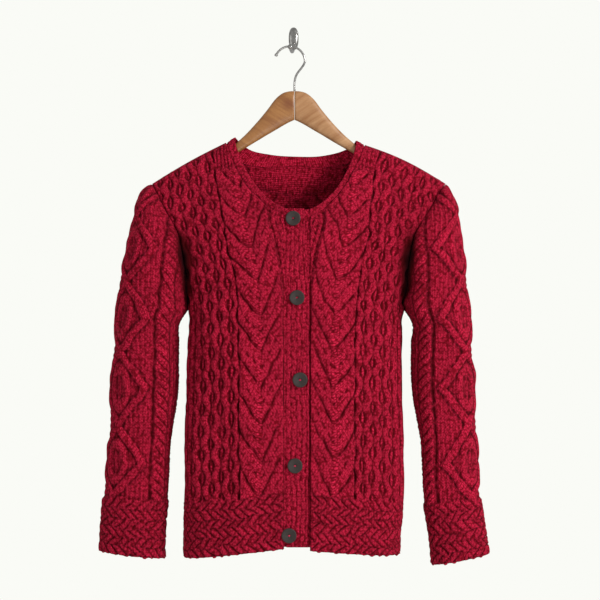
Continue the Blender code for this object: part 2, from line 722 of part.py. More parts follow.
def snap_top(half, row):
    """Moves a top row of a half back to the neck point and the seam plane."""
    solid = half.solid
    numbers, places = row
    total = length_of(half.line_at(2.0))[-1]
    neck_u = half.inner_u(2.0) + top_share(half.side) * total
    nearest = int(np.argmin(np.abs(np.array(places) - neck_u)))
    if abs(places[nearest] - neck_u) > 0.01:
        solid.points[numbers[nearest]] = tuple(half.points(2.0, [neck_u], True)[0])
        places[nearest] = neck_u
    for number in numbers[nearest:]:
        x, y, z = solid.points[number]
        solid.points[number] = (x, GAP, z)


def add_back(name, material):
    """The back: both halves in one body, with a plain inside."""
    solid = Solid()
    shares = (0.0, 0.2, 0.45, 0.65, 0.84)
    right = Half(solid, "right", True)
    left = Half(solid, "left", True)
    outer_right = outer_rows(right)
    outer_left = outer_rows(left, outer_right)
    tops = []
    for half, (lattice, panel, comb) in ((right, outer_right), (left, outer_left)):
        top = (panel[-1][0] + comb[-1][0], panel[-1][1] + comb[-1][1])
        snap_top(half, top)
        tops.append(top)
    inner_right = inner_rows(right, shares, None, tops[0][1])
    inner_left = inner_rows(left, shares, inner_right, tops[1][1])
    sides = ((right, outer_right, inner_right, tops[0]), (left, outer_left, inner_left, tops[1]))
    seams = []
    for half, (lattice, panel, comb), inner, top in sides:
        snap_top(half, inner[-1])
        side = [row[0][-1] for row in lattice + comb]
        side_r = list(LATTICE_R) + list(COMB_R)
        solid.zip(side, side_r, [row[0][-1] for row in inner], list(INNER_R))
        solid.zip(lattice[0][0], lattice[0][1], inner[0][0], inner[0][1])
        solid.zip(top[0], top[1], inner[-1][0], inner[-1][1])
        total = length_of(half.line_at(2.0))[-1]
        reach = top_share(half.side) * total
        seams.append(tuple(
            [((u - half.inner_u(2.0)) / reach, np.array(solid.points[n]))
             for n, u in zip(row[0], row[1]) if (u - half.inner_u(2.0)) / reach < 1.001]
            for row in (top, inner[-1])
        ))
    solid.build(name, material)
    return seams


class Sleeve:
    """One knitted sleeve: rings below the underarm, open rows above it."""

    def __init__(self, solid, side):
        self.solid = solid
        self.side = side
        self.line_at = lambda r: sleeve_line(side, r)[0]
        normal = row_frame(self.line_at, 0.5, [0.5], 1.0)[1][0]
        self.turn = 1.0 if (normal[0] < 0.0) == (side == "right") else -1.0

    def span(self, r):
        """Knit places of the front and the back edge of row r."""
        line, centre = sleeve_line(self.side, r)
        return -centre, length_of(line)[-1] - centre

    def points(self, r, places, raised):
        """Points of row r at knit places, with relief if raised."""
        start, end = self.span(r)
        shares = (np.asarray(places) - start) / (end - start)
        points, normals = row_frame(self.line_at, r, shares, self.turn)
        if not raised:
            return points - normals * WALL
        v = r * SLEEVE_LOW if r <= 1.0 else SLEEVE_LOW + (r - 1.0) * SLEEVE_HIGH
        height = sleeve_relief(places, v)
        if r > 0.9:
            near = np.minimum(np.asarray(places) - start, end - np.asarray(places))
            reach = UNDERARM_FADE if abs(r - 1.0) < 0.09 else SEAM_FADE
            height = height * np.clip((near - 3.0) / reach, 0.0, 1.0)
        return points + normals * height[:, None]

    def seam(self, r, back, inside):
        """Outer or inner point of the armhole edge, or of the arm seam."""
        if r < 1.0:
            point = self.points(r, [self.span(r)[0]], True)[0]
            away = -WALL if self.side == "right" else WALL
            return point + np.array([away, 0.0, 0.0]) if inside else point
        toward, depth = seam_shift(self.side, r, back)
        point = armhole(self.side, r, back) - toward * GAP
        if inside:
            point = point + depth
            if r == 1.0:
                point = point - toward * WALL
        return point


def sleeve_rows(sleeve, rows, wanted, inside):
    """Adds one face of a sleeve and returns its rows of points."""
    solid = sleeve.solid
    result = []
    for r in rows:
        start, end = sleeve.span(r)
        if r >= 2.0:
            apex = solid.add([sleeve.seam(r, False, inside)])
            result.append((apex, [0.0]))
            continue
        spacing = 12.0 if inside else 6.0
        choice = np.arange(-96.0, 97.0, spacing) if r > CAP_TIP else wanted
        places = [u for u in choice if start + SEAM_CLEAR < u < end - SEAM_CLEAR]
        middle = list(sleeve.points(r, places, not inside)) if places else []
        first = sleeve.seam(r, False, inside)
        numbers = solid.add([first] + middle)
        if r <= 1.0:
            numbers.append(numbers[0])
        else:
            numbers += solid.add([sleeve.seam(r, True, inside)])
        result.append((numbers, [start] + places + [end]))
    for low, high in zip(result[:-1], result[1:]):
        solid.zip(low[0], low[1], high[0], high[1])
    return result


def add_sleeve(name, side, material):
    """One sleeve with its cuff lattice and an open cap to the armhole."""
    solid = Solid()
    sleeve = Sleeve(solid, side)
    step = DIAMOND_REPEAT / 8.0
    low = np.linspace(0.0, LATTICE_TOP / SLEEVE_LOW, 7)
    count = int(round((SLEEVE_LOW - CUFF_TOP) / step))
    middle = np.linspace(CUFF_TOP / SLEEVE_LOW, 1.0, count + 1)
    cap = [r for r in COMB_R if r > 1.0]
    ribs = list(np.arange(SLEEVE_RIB_START, 260.0, SLEEVE_RIB_PITCH))
    ropes = [ROPE_CENTRE - ROPE_HALF, ROPE_CENTRE, ROPE_CENTRE + ROPE_HALF]
    diamonds = list(np.arange(-DIAMOND_HALF - 10.0, DIAMOND_HALF + 11.0, 10.0))
    wanted = sorted([-u for u in ropes + ribs] + diamonds + ropes + ribs)
    bars = list(np.arange(-240.0, 241.0, 0.5 * LATTICE_BAR))
    cuff = sleeve_rows(sleeve, low, bars, False)
    outer = sleeve_rows(sleeve, list(middle) + cap, wanted, False)
    solid.zip(cuff[-1][0], cuff[-1][1], outer[0][0], outer[0][1])
    inner_r = list(low[:6:3]) + [r for k, r in enumerate(middle) if k % 2 == 0 or r > 0.85] + cap
    if middle[-1] not in inner_r:
        inner_r = sorted(inner_r + [middle[-1]])
    inside = sleeve_rows(sleeve, inner_r, [-80.0, -40.0, 0.0, 40.0, 85.0, 135.0, 180.0], True)
    solid.zip(cuff[0][0], cuff[0][1], inside[0][0], inside[0][1])
    for end in (0, -1):
        outer_edge_line = [row[0][end] for row, r in zip(outer, list(middle) + cap) if r >= 1.0]
        inner_edge_line = [row[0][end] for row, r in zip(inside, inner_r) if r >= 1.0]
        at = [1.0] + cap
        solid.zip(outer_edge_line, at, inner_edge_line, at)
    solid.build(name, material)


def neck_free(place):
    """Free edge of the neckband; place runs -1.56 right front to 1.56 left."""
    if abs(place) <= 1.0:
        return smooth(NECK_FREE_BACK, place)[0]
    side = "right" if place < 0.0 else "left"
    share = 1.0 - (abs(place) - 1.0) / (2.0 - NECK_CORNER)
    return smooth(NECK_FREE[side], max(share, 0.0))[0]


def neck_line(fronts, backs, kind):
    """Places and points of the panel edges, right front round to left front."""
    right = [(r - 3.0, point) for r, point in fronts[0][kind]]
    back = [(-g, point) for g, point in backs[0][kind][::-1]]
    back += [(g, point) for g, point in backs[1][kind][1:]]
    left = [(3.0 - r, point) for r, point in fronts[1][kind][::-1]]
    middle = 0.5 * (right[-1][1] + back[0][1])
    other = 0.5 * (back[-1][1] + left[0][1])
    return right[:-1] + [(-1.0, middle)] + back[1:-1] + [(1.0, other)] + left[1:]


def add_neckband(name, fronts, backs, material):
    """Narrow plain band along the neck seam."""
    solid = Solid()
    outer = neck_line(fronts, backs, 0)
    inner = neck_line(fronts, backs, 1)
    places = [place for place, point in outer]
    inner_places = [place for place, point in inner]
    edge = np.array([point for place, point in outer])
    edge_in = np.array([point for place, point in inner])
    close = np.stack([np.interp(places, inner_places, edge_in[:, k]) for k in range(3)], axis=1)
    free = np.array([neck_free(place) for place in places])
    normal = unit(edge - close)
    for _ in range(2):
        normal[1:-1] = unit(normal[:-2] + 2.0 * normal[1:-1] + normal[2:])
    toward = free - edge
    run = unit(np.gradient(edge, axis=0))
    toward = toward - normal * np.sum(toward * normal, axis=1, keepdims=True)
    toward = unit(toward - run * np.sum(toward * run, axis=1, keepdims=True))
    toward_in = np.stack(
        [np.interp(inner_places, places, toward[:, k]) for k in range(3)], axis=1
    )
    seam = edge + toward * NECK_GAP
    lines = [
        solid.add(seam),
        solid.add(free),
        solid.add(free - normal * WALL),
        solid.add(edge_in + toward_in * NECK_GAP),
    ]
    at = [places, places, places, inner_places]
    half = int(np.argmin(np.abs(places)))
    half_in = int(np.argmin(np.abs(inner_places)))
    solid.zip(lines[3][:half_in + 1], at[3][:half_in + 1], lines[0][:half + 1], at[0][:half + 1])
    solid.zip(lines[0][half:], at[0][half:], lines[3][half_in:], at[3][half_in:])
    for k in range(3):
        n = k + 1
        solid.zip(lines[k], at[k], lines[n], at[n])
    for end in (0, -1):
        solid.faces.append(tuple(line[end] for line in lines))
    solid.build(name, material)


def band_rows(side, low_z, high_z):
    """Heights of the rows of a front band and y of its face at each."""
    turn = -67.0 if side == "right" else -63.5
    path = sorted([(row[3], row[2]) for row in FRONT_INNER[side][:5]] + [(-265.0, turn)])
    heights = np.concatenate([np.linspace(low_z, -335.0, 6), np.linspace(-320.0, high_z, 5)])
    return heights, smooth(path, heights)[:, 0]


def add_band(name, side, edge_x, free, span, relief, material):
    """A ribbed front band that hangs straight from the neck to the hem."""
    solid = Solid()
    count = 9
    outer = []
    inner = []
    for z, y in zip(*band_rows(side, span[0], span[1])):
        end = linear(free, z)[0][0]
        xs = np.linspace(edge_x, end, count)
        line = [(x, y - (relief if k % 2 else 0.0), z) for k, x in enumerate(xs)]
        outer.append(solid.add(line))
        inner.append(solid.add([(edge_x, y + WALL, z), (end, y + WALL, z)]))
    for low, high, low_in, high_in in zip(outer[:-1], outer[1:], inner[:-1], inner[1:]):
        for k in range(count - 1):
            solid.quad(low[k], low[k + 1], high[k + 1], high[k])
        solid.quad(low_in[0], low_in[1], high_in[1], high_in[0])
        solid.quad(low[0], high[0], high_in[0], low_in[0])
        solid.quad(low[-1], high[-1], high_in[-1], low_in[-1])
    for row, row_in in ((outer[0], inner[0]), (outer[-1], inner[-1])):
        solid.faces.append(tuple(row) + (row_in[1], row_in[0]))
    solid.build(name, material)


def add_lathe(solid, profile, sides, centre, axis):
    """Turns a profile of radius and height about an axis through a centre."""
    axis = unit(np.array(axis))
    across = unit(np.cross(axis, [0.0, 0.0, 1.0]))
    above = np.cross(across, axis)
    rings = []
    for radius, height in profile:
        base = np.array(centre) + axis * height
        if radius < 1e-6:
            rings.append(solid.add([base]) * sides)
            continue
        angles = np.linspace(0.0, 2.0 * np.pi, sides, endpoint=False)
        rings.append(solid.add(
            [base + radius * (np.cos(a) * across + np.sin(a) * above) for a in angles]
        ))
    for low, high in zip(rings[:-1], rings[1:]):
        for k in range(sides):
            n = (k + 1) % sides
            solid.tri(low[k], low[n], high[n])
            solid.tri(low[k], high[n], high[k])


def add_buttons(material):
    """Five round buttons in front of the buttonhole band."""
    heights, depths = band_rows("right", BAND_LOW, BAND_HIGH)
    profile = (
        (0.0, 0.0), (9.3, 0.0), (BUTTON_RADIUS, 1.1), (BUTTON_RADIUS, 2.3),
        (9.2, 3.3), (3.2, 2.7), (0.0, 2.2),
    )
    for number, (x, z) in enumerate(BUTTONS, 1):
        y = np.interp(z, heights, depths)
        slope = (np.interp(z + 9.0, heights, depths) - np.interp(z - 9.0, heights, depths)) / 18.0
        axis = unit(np.array([0.0, -1.0, slope]))
        solid = Solid()
        start = np.array([x, y, z]) + axis * (BAND_RIB + BUTTON_SEAT)
        add_lathe(solid, profile, BUTTON_SIDES, start, axis)
        solid.build("button_%d" % number, material)


def add_tube(solid, stations, sides):
    """A round bar through stations of x, y, z and radius, closed at its ends."""
    data = np.array(stations, dtype=float)
    rings = []
    frame = np.array([0.0, 1.0, 0.0])
    for k in range(len(data)):
        low = data[max(k - 1, 0), :3]
        high = data[min(k + 1, len(data) - 1), :3]
        along = unit(high - low)
        if abs(np.dot(along, frame)) > 0.9:
            frame = np.array([1.0, 0.0, 0.0])
        across = unit(frame - along * np.dot(frame, along))
        above = np.cross(along, across)
        frame = across
        angles = np.linspace(0.0, 2.0 * np.pi, sides, endpoint=False)
        rings.append(solid.add([
            data[k, :3] + data[k, 3] * (np.cos(a) * across + np.sin(a) * above) for a in angles
        ]))
    for low, high in zip(rings[:-1], rings[1:]):
        for k in range(sides):
            n = (k + 1) % sides
            solid.tri(low[k], low[n], high[n])
            solid.tri(low[k], high[n], high[k])
    for ring in (rings[0], rings[-1]):
        solid.faces.append(tuple(ring))


def add_arm(name, way, material):
    """One wooden hanger arm: oval sections that slope out and down."""
    solid = Solid()
    rings = []
    angles = np.linspace(0.0, 2.0 * np.pi, 12, endpoint=False)
    for x, upper, lower, depth in ARM:
        drop = ARM_DROP * max(x - 60.0, 0.0) / 124.0 if way < 0.0 else 0.0
        half = 0.5 * (upper - lower)
        middle = 0.5 * (upper + lower) - drop
        ring = []
        for angle in angles:
            y = depth * np.sign(np.cos(angle)) * abs(np.cos(angle)) ** 0.8
            z = middle + half * np.sign(np.sin(angle)) * abs(np.sin(angle)) ** 0.8
            ring.append((x * way, y, z))
        rings.append(solid.add(ring))
    for low, high in zip(rings[:-1], rings[1:]):
        for k in range(len(angles)):
            n = (k + 1) % len(angles)
            solid.tri(low[k], low[n], high[n])
            solid.tri(low[k], high[n], high[k])
    for ring in (rings[0], rings[-1]):
        solid.faces.append(tuple(ring))
    solid.build(name, material, 0.0)


def add_hanger_hook(material):
    """Bent wire hook with a short thicker cap on its tip."""
    solid = Solid()
    stations = [(x, 0.0, z, HOOK_WIRE_RADIUS) for x, z in HOOK_STEM]
    for angle in np.radians(np.linspace(-4.0, 152.0, 14)):
        x = HOOK_CENTRE[0] + HOOK_RADIUS * np.cos(angle)
        z = HOOK_CENTRE[1] + HOOK_RADIUS * np.sin(angle)
        stations.append((x, 0.0, z, HOOK_WIRE_RADIUS))
    for turn, radius in ((153.0, 2.3), (159.0, 2.4), (160.5, 1.2)):
        angle = np.radians(turn)
        x = HOOK_CENTRE[0] + HOOK_RADIUS * np.cos(angle)
        z = HOOK_CENTRE[1] + HOOK_RADIUS * np.sin(angle)
        stations.append((x, 0.0, z, radius))
    add_tube(solid, stations, TUBE_SIDES)
    solid.build("hanger_hook", material, 0.0)


def add_wall_hook(material):
    """Domed plate, prong with a round tip, and the screw head."""
    plate = Solid()
    rings = []
    angles = np.linspace(0.0, 2.0 * np.pi, 20, endpoint=False)
    for scale, depth in ((1.0, 0.0), (1.0, 1.4), (0.78, 3.9), (0.42, 5.0)):
        ring = []
        for angle in angles:
            x = -1.5 + 7.5 * scale * np.sign(np.cos(angle)) * abs(np.cos(angle)) ** 0.8
            z = -6.75 + 17.25 * scale * np.sign(np.sin(angle)) * abs(np.sin(angle)) ** 0.8
            ring.append((x, -HANG_Y - depth, z))
        rings.append(plate.add(ring))
    for low, high in zip(rings[:-1], rings[1:]):
        for k in range(len(angles)):
            n = (k + 1) % len(angles)
            plate.tri(low[k], low[n], high[n])
            plate.tri(low[k], high[n], high[k])
    for ring in (rings[0], rings[-1]):
        plate.faces.append(tuple(ring))
    plate.build("hook_plate", material, 0.0)
    prong = Solid()
    add_tube(prong, [(x, y - HANG_Y, z, radius) for x, y, z, radius in PRONG], TUBE_SIDES)
    prong.build("hook_prong", material, 0.0)
    screw = Solid()
    profile = ((0.0, 0.0), (2.5, 0.0), (2.5, 0.7), (1.6, 1.5), (0.0, 1.8))
    add_lathe(screw, profile, 12, (3.2, -HANG_Y - 5.3, 1.5), (0.0, -1.0, 0.0))
    screw.build("hook_screw", material, 0.0)


def main():
    """Builds every piece."""
    for old in list(bpy.data.objects):
        bpy.data.objects.remove(old, do_unlink=True)
    made = {}
    for name, (colour, rough, metal) in MATERIALS.items():
        material = bpy.data.materials.new(name)
        material.use_nodes = True
        shader = material.node_tree.nodes["Principled BSDF"]
        shader.inputs["Base Color"].default_value = colour
        shader.inputs["Roughness"].default_value = rough
        shader.inputs["Metallic"].default_value = metal
        made[name] = material
    wool = made["red_wool"]
    fronts = (add_front("front_right", "right", wool), add_front("front_left", "left", wool))
    backs = add_back("back", wool)
    add_sleeve("sleeve_right", "right", wool)
    add_sleeve("sleeve_left", "left", wool)
    add_neckband("neckband", fronts, backs, wool)
    add_band("buttonhole_band", "right", -17.4, BAND_FREE, (BAND_LOW, BAND_HIGH), BAND_RIB, wool)
    add_band("button_band", "left", 19.2, UNDER_FREE, (-765.5, -272.0), 0.5, wool)
    add_buttons(made["dark_button"])
    add_arm("hanger_arm_right", -1.0, made["tan_wood"])
    add_arm("hanger_arm_left", 1.0, made["tan_wood"])
    add_hanger_hook(made["bright_wire"])
    add_wall_hook(made["hook_steel"])


main()
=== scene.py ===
"""Looks of the aran cardigan, buttoned, on its wooden hanger and wall hook.

Lengths in the tables are millimetres, colours are sRGB hex values. The garment
hangs round the plane y = HANG_Y, its front faces minus Y and Z is up. Row
position r runs 0 at hem or cuff, 1 at the underarm, 2 at the shoulder.
"""
from __future__ import annotations

import json
import logging
import math
from dataclasses import dataclass, field
from enum import Enum

import bmesh
import bpy
import numpy as np
from mathutils import Matrix, Vector

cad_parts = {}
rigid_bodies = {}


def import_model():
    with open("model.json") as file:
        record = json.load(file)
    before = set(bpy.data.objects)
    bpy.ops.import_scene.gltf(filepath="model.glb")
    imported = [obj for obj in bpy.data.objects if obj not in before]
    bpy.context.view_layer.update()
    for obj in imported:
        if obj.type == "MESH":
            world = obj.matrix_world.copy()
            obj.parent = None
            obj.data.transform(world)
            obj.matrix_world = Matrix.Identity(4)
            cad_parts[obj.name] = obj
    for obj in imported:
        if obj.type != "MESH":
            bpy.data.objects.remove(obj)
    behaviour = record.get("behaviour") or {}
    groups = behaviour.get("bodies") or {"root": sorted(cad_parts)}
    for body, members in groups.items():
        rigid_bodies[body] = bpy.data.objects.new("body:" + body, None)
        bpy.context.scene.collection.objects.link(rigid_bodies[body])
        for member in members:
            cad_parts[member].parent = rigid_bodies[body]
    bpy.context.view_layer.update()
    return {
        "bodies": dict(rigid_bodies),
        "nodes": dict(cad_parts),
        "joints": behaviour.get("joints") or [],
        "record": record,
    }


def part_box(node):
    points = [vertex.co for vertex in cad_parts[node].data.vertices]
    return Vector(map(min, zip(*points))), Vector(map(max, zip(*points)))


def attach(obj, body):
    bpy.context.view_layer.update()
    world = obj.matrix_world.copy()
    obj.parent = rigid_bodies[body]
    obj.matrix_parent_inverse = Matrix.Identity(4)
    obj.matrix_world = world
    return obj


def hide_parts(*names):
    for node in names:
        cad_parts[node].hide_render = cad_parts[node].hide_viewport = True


LOG = logging.getLogger("aran_cardigan")
Array = np.ndarray
Socket = bpy.types.NodeSocket
Tree = bpy.types.NodeTree
Work = bmesh.types.BMesh

MM = 0.001
# plane that the garment hangs round, and x of its middle
HANG_Y = -50.0
AXIS_X = 3.0
# thickness of the knit, how far it stays from a seam, y of the side seams
WALL = 2.6
SEAM = 0.2
SIDE_Y = -18.0
# how far the seams flatten the cables, and how much more at the underarm
SEAM_REACH = 4.5
UNDERARM_REACH = 22.0
UNDERARM_ROWS = 0.07
# painted shadow in the fold beside the armhole, and the height at which a crease gets painted
# shade
FOLD_SHADOW_DEPTH = 2.0
FOLD_SHADOW_WIDTH = 15.0
CREASE_SHADE_START = 0.15
CREASE_SHADE_DEPTH = 1.9
# knit lengths of border, panel and honeycomb, then of the body and the sleeve
LATTICE_TOP = 80.0
PANEL_EDGE = 64.0
COMB_REPEAT = 33.0
BODY_LOW = 361.0
FRONT_HIGH = 258.0
SLEEVE_LOW = 360.0
SLEEVE_HIGH = 210.0
# how far the back's panels start from its middle
BACK_CENTRE = 8.0
# one shoulder sits a little higher, one cuff a little lower
SHOULDER_RISE = {"right": 2.5, "left": 5.5}
NECK_RISE = {"right": 5.0, "left": 0.0}
LEFT_CUFF_DROP = (4.5, 9.5)
CUFF_REACH = 0.45
# neck point as a share of the back's half width, and row of the front's neck corner
BACK_NECK = 0.47
NECK_SHARE = {"right": 0.488, "left": 0.459}
NECK_CORNER = 1.444
# the hanger: drop of its lower arm, round of its hook
ARM_DROP = 4.0
HOOK_CENTRE = (-7.0, -47.0)
HOOK_RADIUS = 22.5
HOOK_WIRE = 1.65

# r, x, y, z of the seam between front and bands, then along the neck seam.
FRONT_INNER = {
    "right": (
        (0.0, -18.0, -91.0, -767.0), (0.5, -18.0, -91.0, -584.0),
        (1.0, -18.0, -89.0, -405.0), (1.234, -18.0, -79.0, -339.0),
        (1.444, -18.0, -67.0, -281.0), (1.542, -41.8, -58.0, -268.2),
        (1.616, -56.7, -51.0, -254.6), (1.690, -70.2, -43.0, -240.9),
        (1.782, -83.8, -33.0, -220.0), (1.870, -94.5, -22.0, -198.5),
        (1.954, -102.4, -12.0, -177.0), (2.0, -105.8, 0.0, -169.0),
    ),
    "left": (
        (0.0, 19.8, -86.0, -770.5), (0.5, 19.8, -86.0, -584.0),
        (1.0, 19.8, -84.0, -405.0), (1.234, 19.8, -75.0, -339.0),
        (1.444, 19.8, -63.0, -283.0), (1.542, 40.6, -56.0, -271.0),
        (1.616, 53.9, -50.0, -259.0), (1.690, 67.4, -42.0, -242.3),
        (1.782, 79.5, -32.0, -222.5), (1.870, 90.2, -21.0, -201.0),
        (1.954, 99.5, -12.0, -180.0), (2.0, 102.8, 0.0, -172.5),
    ),
}
# r, x, z of the side seam below the underarm.
SIDE = {
    "right": (
        (0.0, -164.0, -785.5), (0.22, -162.5, -705.0), (0.46, -162.5, -614.0),
        (0.66, -160.0, -542.0), (0.83, -158.5, -480.0), (0.95, -157.0, -435.0),
        (1.0, -161.0, -417.0),
    ),
    "left": (
        (0.0, 149.0, -781.0), (0.22, 154.5, -705.0), (0.46, 155.5, -614.0),
        (0.66, 153.0, -542.0), (0.83, 153.0, -480.0), (0.95, 155.5, -435.0),
        (1.0, 160.0, -417.0),
    ),
}
# r, x, front y, back y, z of the armhole seam; x is for the right side.
ARMHOLE = (
    (1.0, -161.0, -18.0, -18.0, -417.0), (1.134, -162.0, -32.0, -4.0, -390.0),
    (1.334, -166.0, -45.0, 10.0, -349.0), (1.523, -174.6, -50.0, 17.0, -309.0),
    (1.726, -194.0, -37.0, 18.0, -271.7), (1.887, -208.0, -19.0, 13.0, -246.5),
    (1.95, -213.0, -11.0, 8.5, -236.5), (2.0, -216.8, 0.0, 0.0, -231.0),
)
# r, u of the inner edge: how far the knit columns lean outwards.
LEAN = (
    (0.0, 0.0), (0.75, 0.0), (1.0, -2.0), (1.2, -9.0), (1.37, -20.0),
    (1.444, -25.0), (1.542, -3.0), (1.616, 9.0), (1.69, 20.0),
    (1.782, 30.0), (1.87, 37.0), (2.0, 42.0),
)
# r, power and sweep in degrees of the bow between inner and outer edge.
FRONT_BOW = (
    (0.0, 2.9, 90.0), (0.9, 2.8, 90.0), (1.0, 2.7, 84.0), (1.15, 2.6, 66.0),
    (1.5, 2.4, 60.0), (2.0, 2.2, 60.0),
)
# r, y, z along the centre of the back.
BACK_CENTRE_LINE = (
    (0.0, 40.0, -778.0), (0.5, 44.0, -595.0), (1.0, 44.0, -412.0),
    (1.5, 38.0, -308.0), (2.0, 28.0, -201.0),
)
# share of the way from centre to shoulder tip, rise of the top edge over a
# straight line, and y of the top edge.
BACK_TOP = (
    (0.0, 0.0, 28.0), (0.2, 2.0, 26.0), (0.36, 12.0, 19.0),
    (0.42, 25.0, 15.0), (0.455, 37.0, 9.0), (0.47, 41.0, 0.0),
    (0.7, 23.0, 0.0), (1.0, 0.0, 0.0),
)
# r, outer x right, outer x left, inner x right, inner x left, z outer,
# z inner, y of front apex, y of back apex.
SLEEVE = (
    (0.0, -290.0, 283.0, -199.0, 205.0, -777.5, -788.5, -47.0, 10.0),
    (0.1, -288.5, 278.0, -199.0, 201.0, -742.0, -750.0, -48.0, 12.0),
    (0.24, -284.0, 270.5, -193.5, 192.0, -690.0, -696.0, -51.0, 16.0),
    (0.45, -277.0, 266.5, -189.0, 187.0, -614.0, -617.0, -56.0, 21.0),
    (0.64, -274.0, 262.5, -178.5, 174.5, -542.0, -543.0, -62.0, 26.0),
    (0.84, -268.5, 258.5, -177.0, 172.5, -470.5, -471.0, -68.0, 31.0),
    (0.94, -267.0, 256.5, -175.0, 173.5, -435.0, -438.0, -71.0, 33.0),
    (1.0, -265.5, 255.0, -161.0, 160.0, -413.0, -417.0, -72.0, 34.0),
    (1.134, -262.0, 252.0, -162.0, 162.0, -385.0, -390.0, -72.0, 35.0),
    (1.334, -255.5, 249.0, -166.0, 166.0, -345.0, -349.0, -70.0, 36.0),
    (1.523, -246.0, 242.0, -174.6, 175.0, -308.0, -309.0, -64.0, 34.0),
    (1.726, -238.5, 238.0, -194.0, 197.0, -271.0, -271.7, -47.0, 28.0),
    (1.887, -229.0, 229.5, -208.0, 213.0, -244.5, -245.5, -26.0, 20.0),
    (2.0, -217.5, 224.5, -216.8, 224.0, -231.5, -231.0, -1.0, 1.0),
)
# free edge of the neckband from front corner to shoulder: share, x, y, z.
NECK_FREE = {
    "right": (
        (0.0, -18.2, -68.0, -269.3), (0.13, -30.7, -62.5, -262.5),
        (0.3, -44.8, -55.0, -251.9), (0.47, -58.3, -46.0, -236.6),
        (0.65, -71.8, -35.0, -216.5), (0.8, -82.9, -22.0, -194.0),
        (0.93, -91.0, -12.0, -170.5), (1.0, -93.0, 0.0, -159.5),
    ),
    "left": (
        (0.0, 20.0, -65.0, -271.0), (0.13, 30.0, -61.0, -266.5),
        (0.3, 42.5, -55.0, -257.5), (0.47, 56.0, -47.0, -243.5),
        (0.65, 69.0, -36.0, -224.0), (0.8, 80.5, -22.0, -200.0),
        (0.93, 88.0, -12.0, -175.5), (1.0, 90.0, 0.0, -164.5),
    ),
}
# signed share of the back neck from right to left: x, y, z.
NECK_FREE_BACK = (
    (-1.0, -93.0, 0.0, -159.5), (-0.9, -87.0, 12.0, -166.0),
    (-0.7, -71.0, 18.0, -178.0), (-0.4, -41.0, 24.5, -185.0),
    (0.0, 0.0, 27.0, -188.0), (0.4, 40.0, 24.5, -187.0),
    (0.7, 70.0, 18.0, -180.0), (0.9, 85.0, 12.0, -171.5),
    (1.0, 90.0, 0.0, -164.5),
)
# z, x of the free edge of the top band.
BAND_FREE = (
    (-764.0, 15.5), (-579.0, 18.5), (-405.0, 18.0), (-320.0, 12.0),
    (-270.0, 11.5),
)
UNDER_FREE = ((-766.0, -14.0), (-270.0, -14.0))
# x from the hanger centre, upper z, lower z of a wooden arm, half depth.
ARM = (
    (0.2, -91.5, -135.0, 7.0), (8.0, -92.0, -138.5, 7.0),
    (18.0, -95.0, -144.0, 7.0), (28.0, -103.0, -150.0, 7.0),
    (41.0, -120.0, -157.5, 7.0), (55.0, -137.0, -166.0, 7.0),
    (74.0, -157.0, -177.0, 5.8), (88.0, -169.3, -185.0, 5.4),
    (105.0, -183.4, -197.0, 5.8), (140.0, -197.6, -213.0, 6.2),
    (172.0, -215.0, -230.0, 5.6), (184.0, -223.6, -235.0, 3.8),
)
# x, z of the hook wire from the wood to the tip.
HOOK_STEM = (
    (0.0, -91.1), (0.0, -80.0), (1.2, -72.0), (4.0, -65.5), (10.0, -57.5),
    (14.2, -51.5),
)
PRONG = (
    (-1.5, -5.4, -16.6, 2.9), (-1.5, -8.6, -16.6, 2.9), (-1.8, -12.0, -20.5, 2.8),
    (-2.6, -20.0, -27.5, 2.6), (-4.0, -34.0, -30.5, 2.5),
    (-5.6, -50.0, -29.1, 2.5), (-6.1, -57.5, -27.2, 2.5),
    (-6.2, -58.6, -27.0, 3.3), (-6.3, -61.5, -26.6, 4.0),
    (-6.4, -64.4, -26.2, 3.3), (-6.5, -65.6, -26.0, 1.2),
)


class Side(Enum):
    """The wearer's side of a piece that comes in pairs."""

    RIGHT = "right"
    LEFT = "left"


class Held(Enum):
    """How a knitted sheet is kept up."""

    HUNG = "hung"


def linear_colour(code: str) -> tuple[float, float, float, float]:
    """Turns an sRGB hex colour into linear values.

    Args:
        code: six hex digits.

    Returns:
        Red, green, blue and an alpha of one.
    """
    parts = [int(code[k:k + 2], 16) / 255.0 for k in (0, 2, 4)]
    lin = [c / 12.92 if c <= 0.04045 else ((c + 0.055) / 1.055) ** 2.4 for c in parts]
    return lin[0], lin[1], lin[2], 1.0


def add_node(tree: Tree, kind: str, settings: dict | None = None,
             links: dict | None = None) -> bpy.types.Node:
    """Adds a node with its settings and links.

    Args:
        tree: the material's or world's node tree.
        kind: the node's type name.
        settings: values by property name, input name or input number.
        links: output sockets by input name or number.

    Returns:
        The new node.
    """
    node = tree.nodes.new(kind)
    for key, value in (settings or {}).items():
        if isinstance(key, str) and hasattr(node, key):
            setattr(node, key, value)
        else:
            node.inputs[key].default_value = value
    for key, source in (links or {}).items():
        tree.links.new(source, node.inputs[key])
    return node


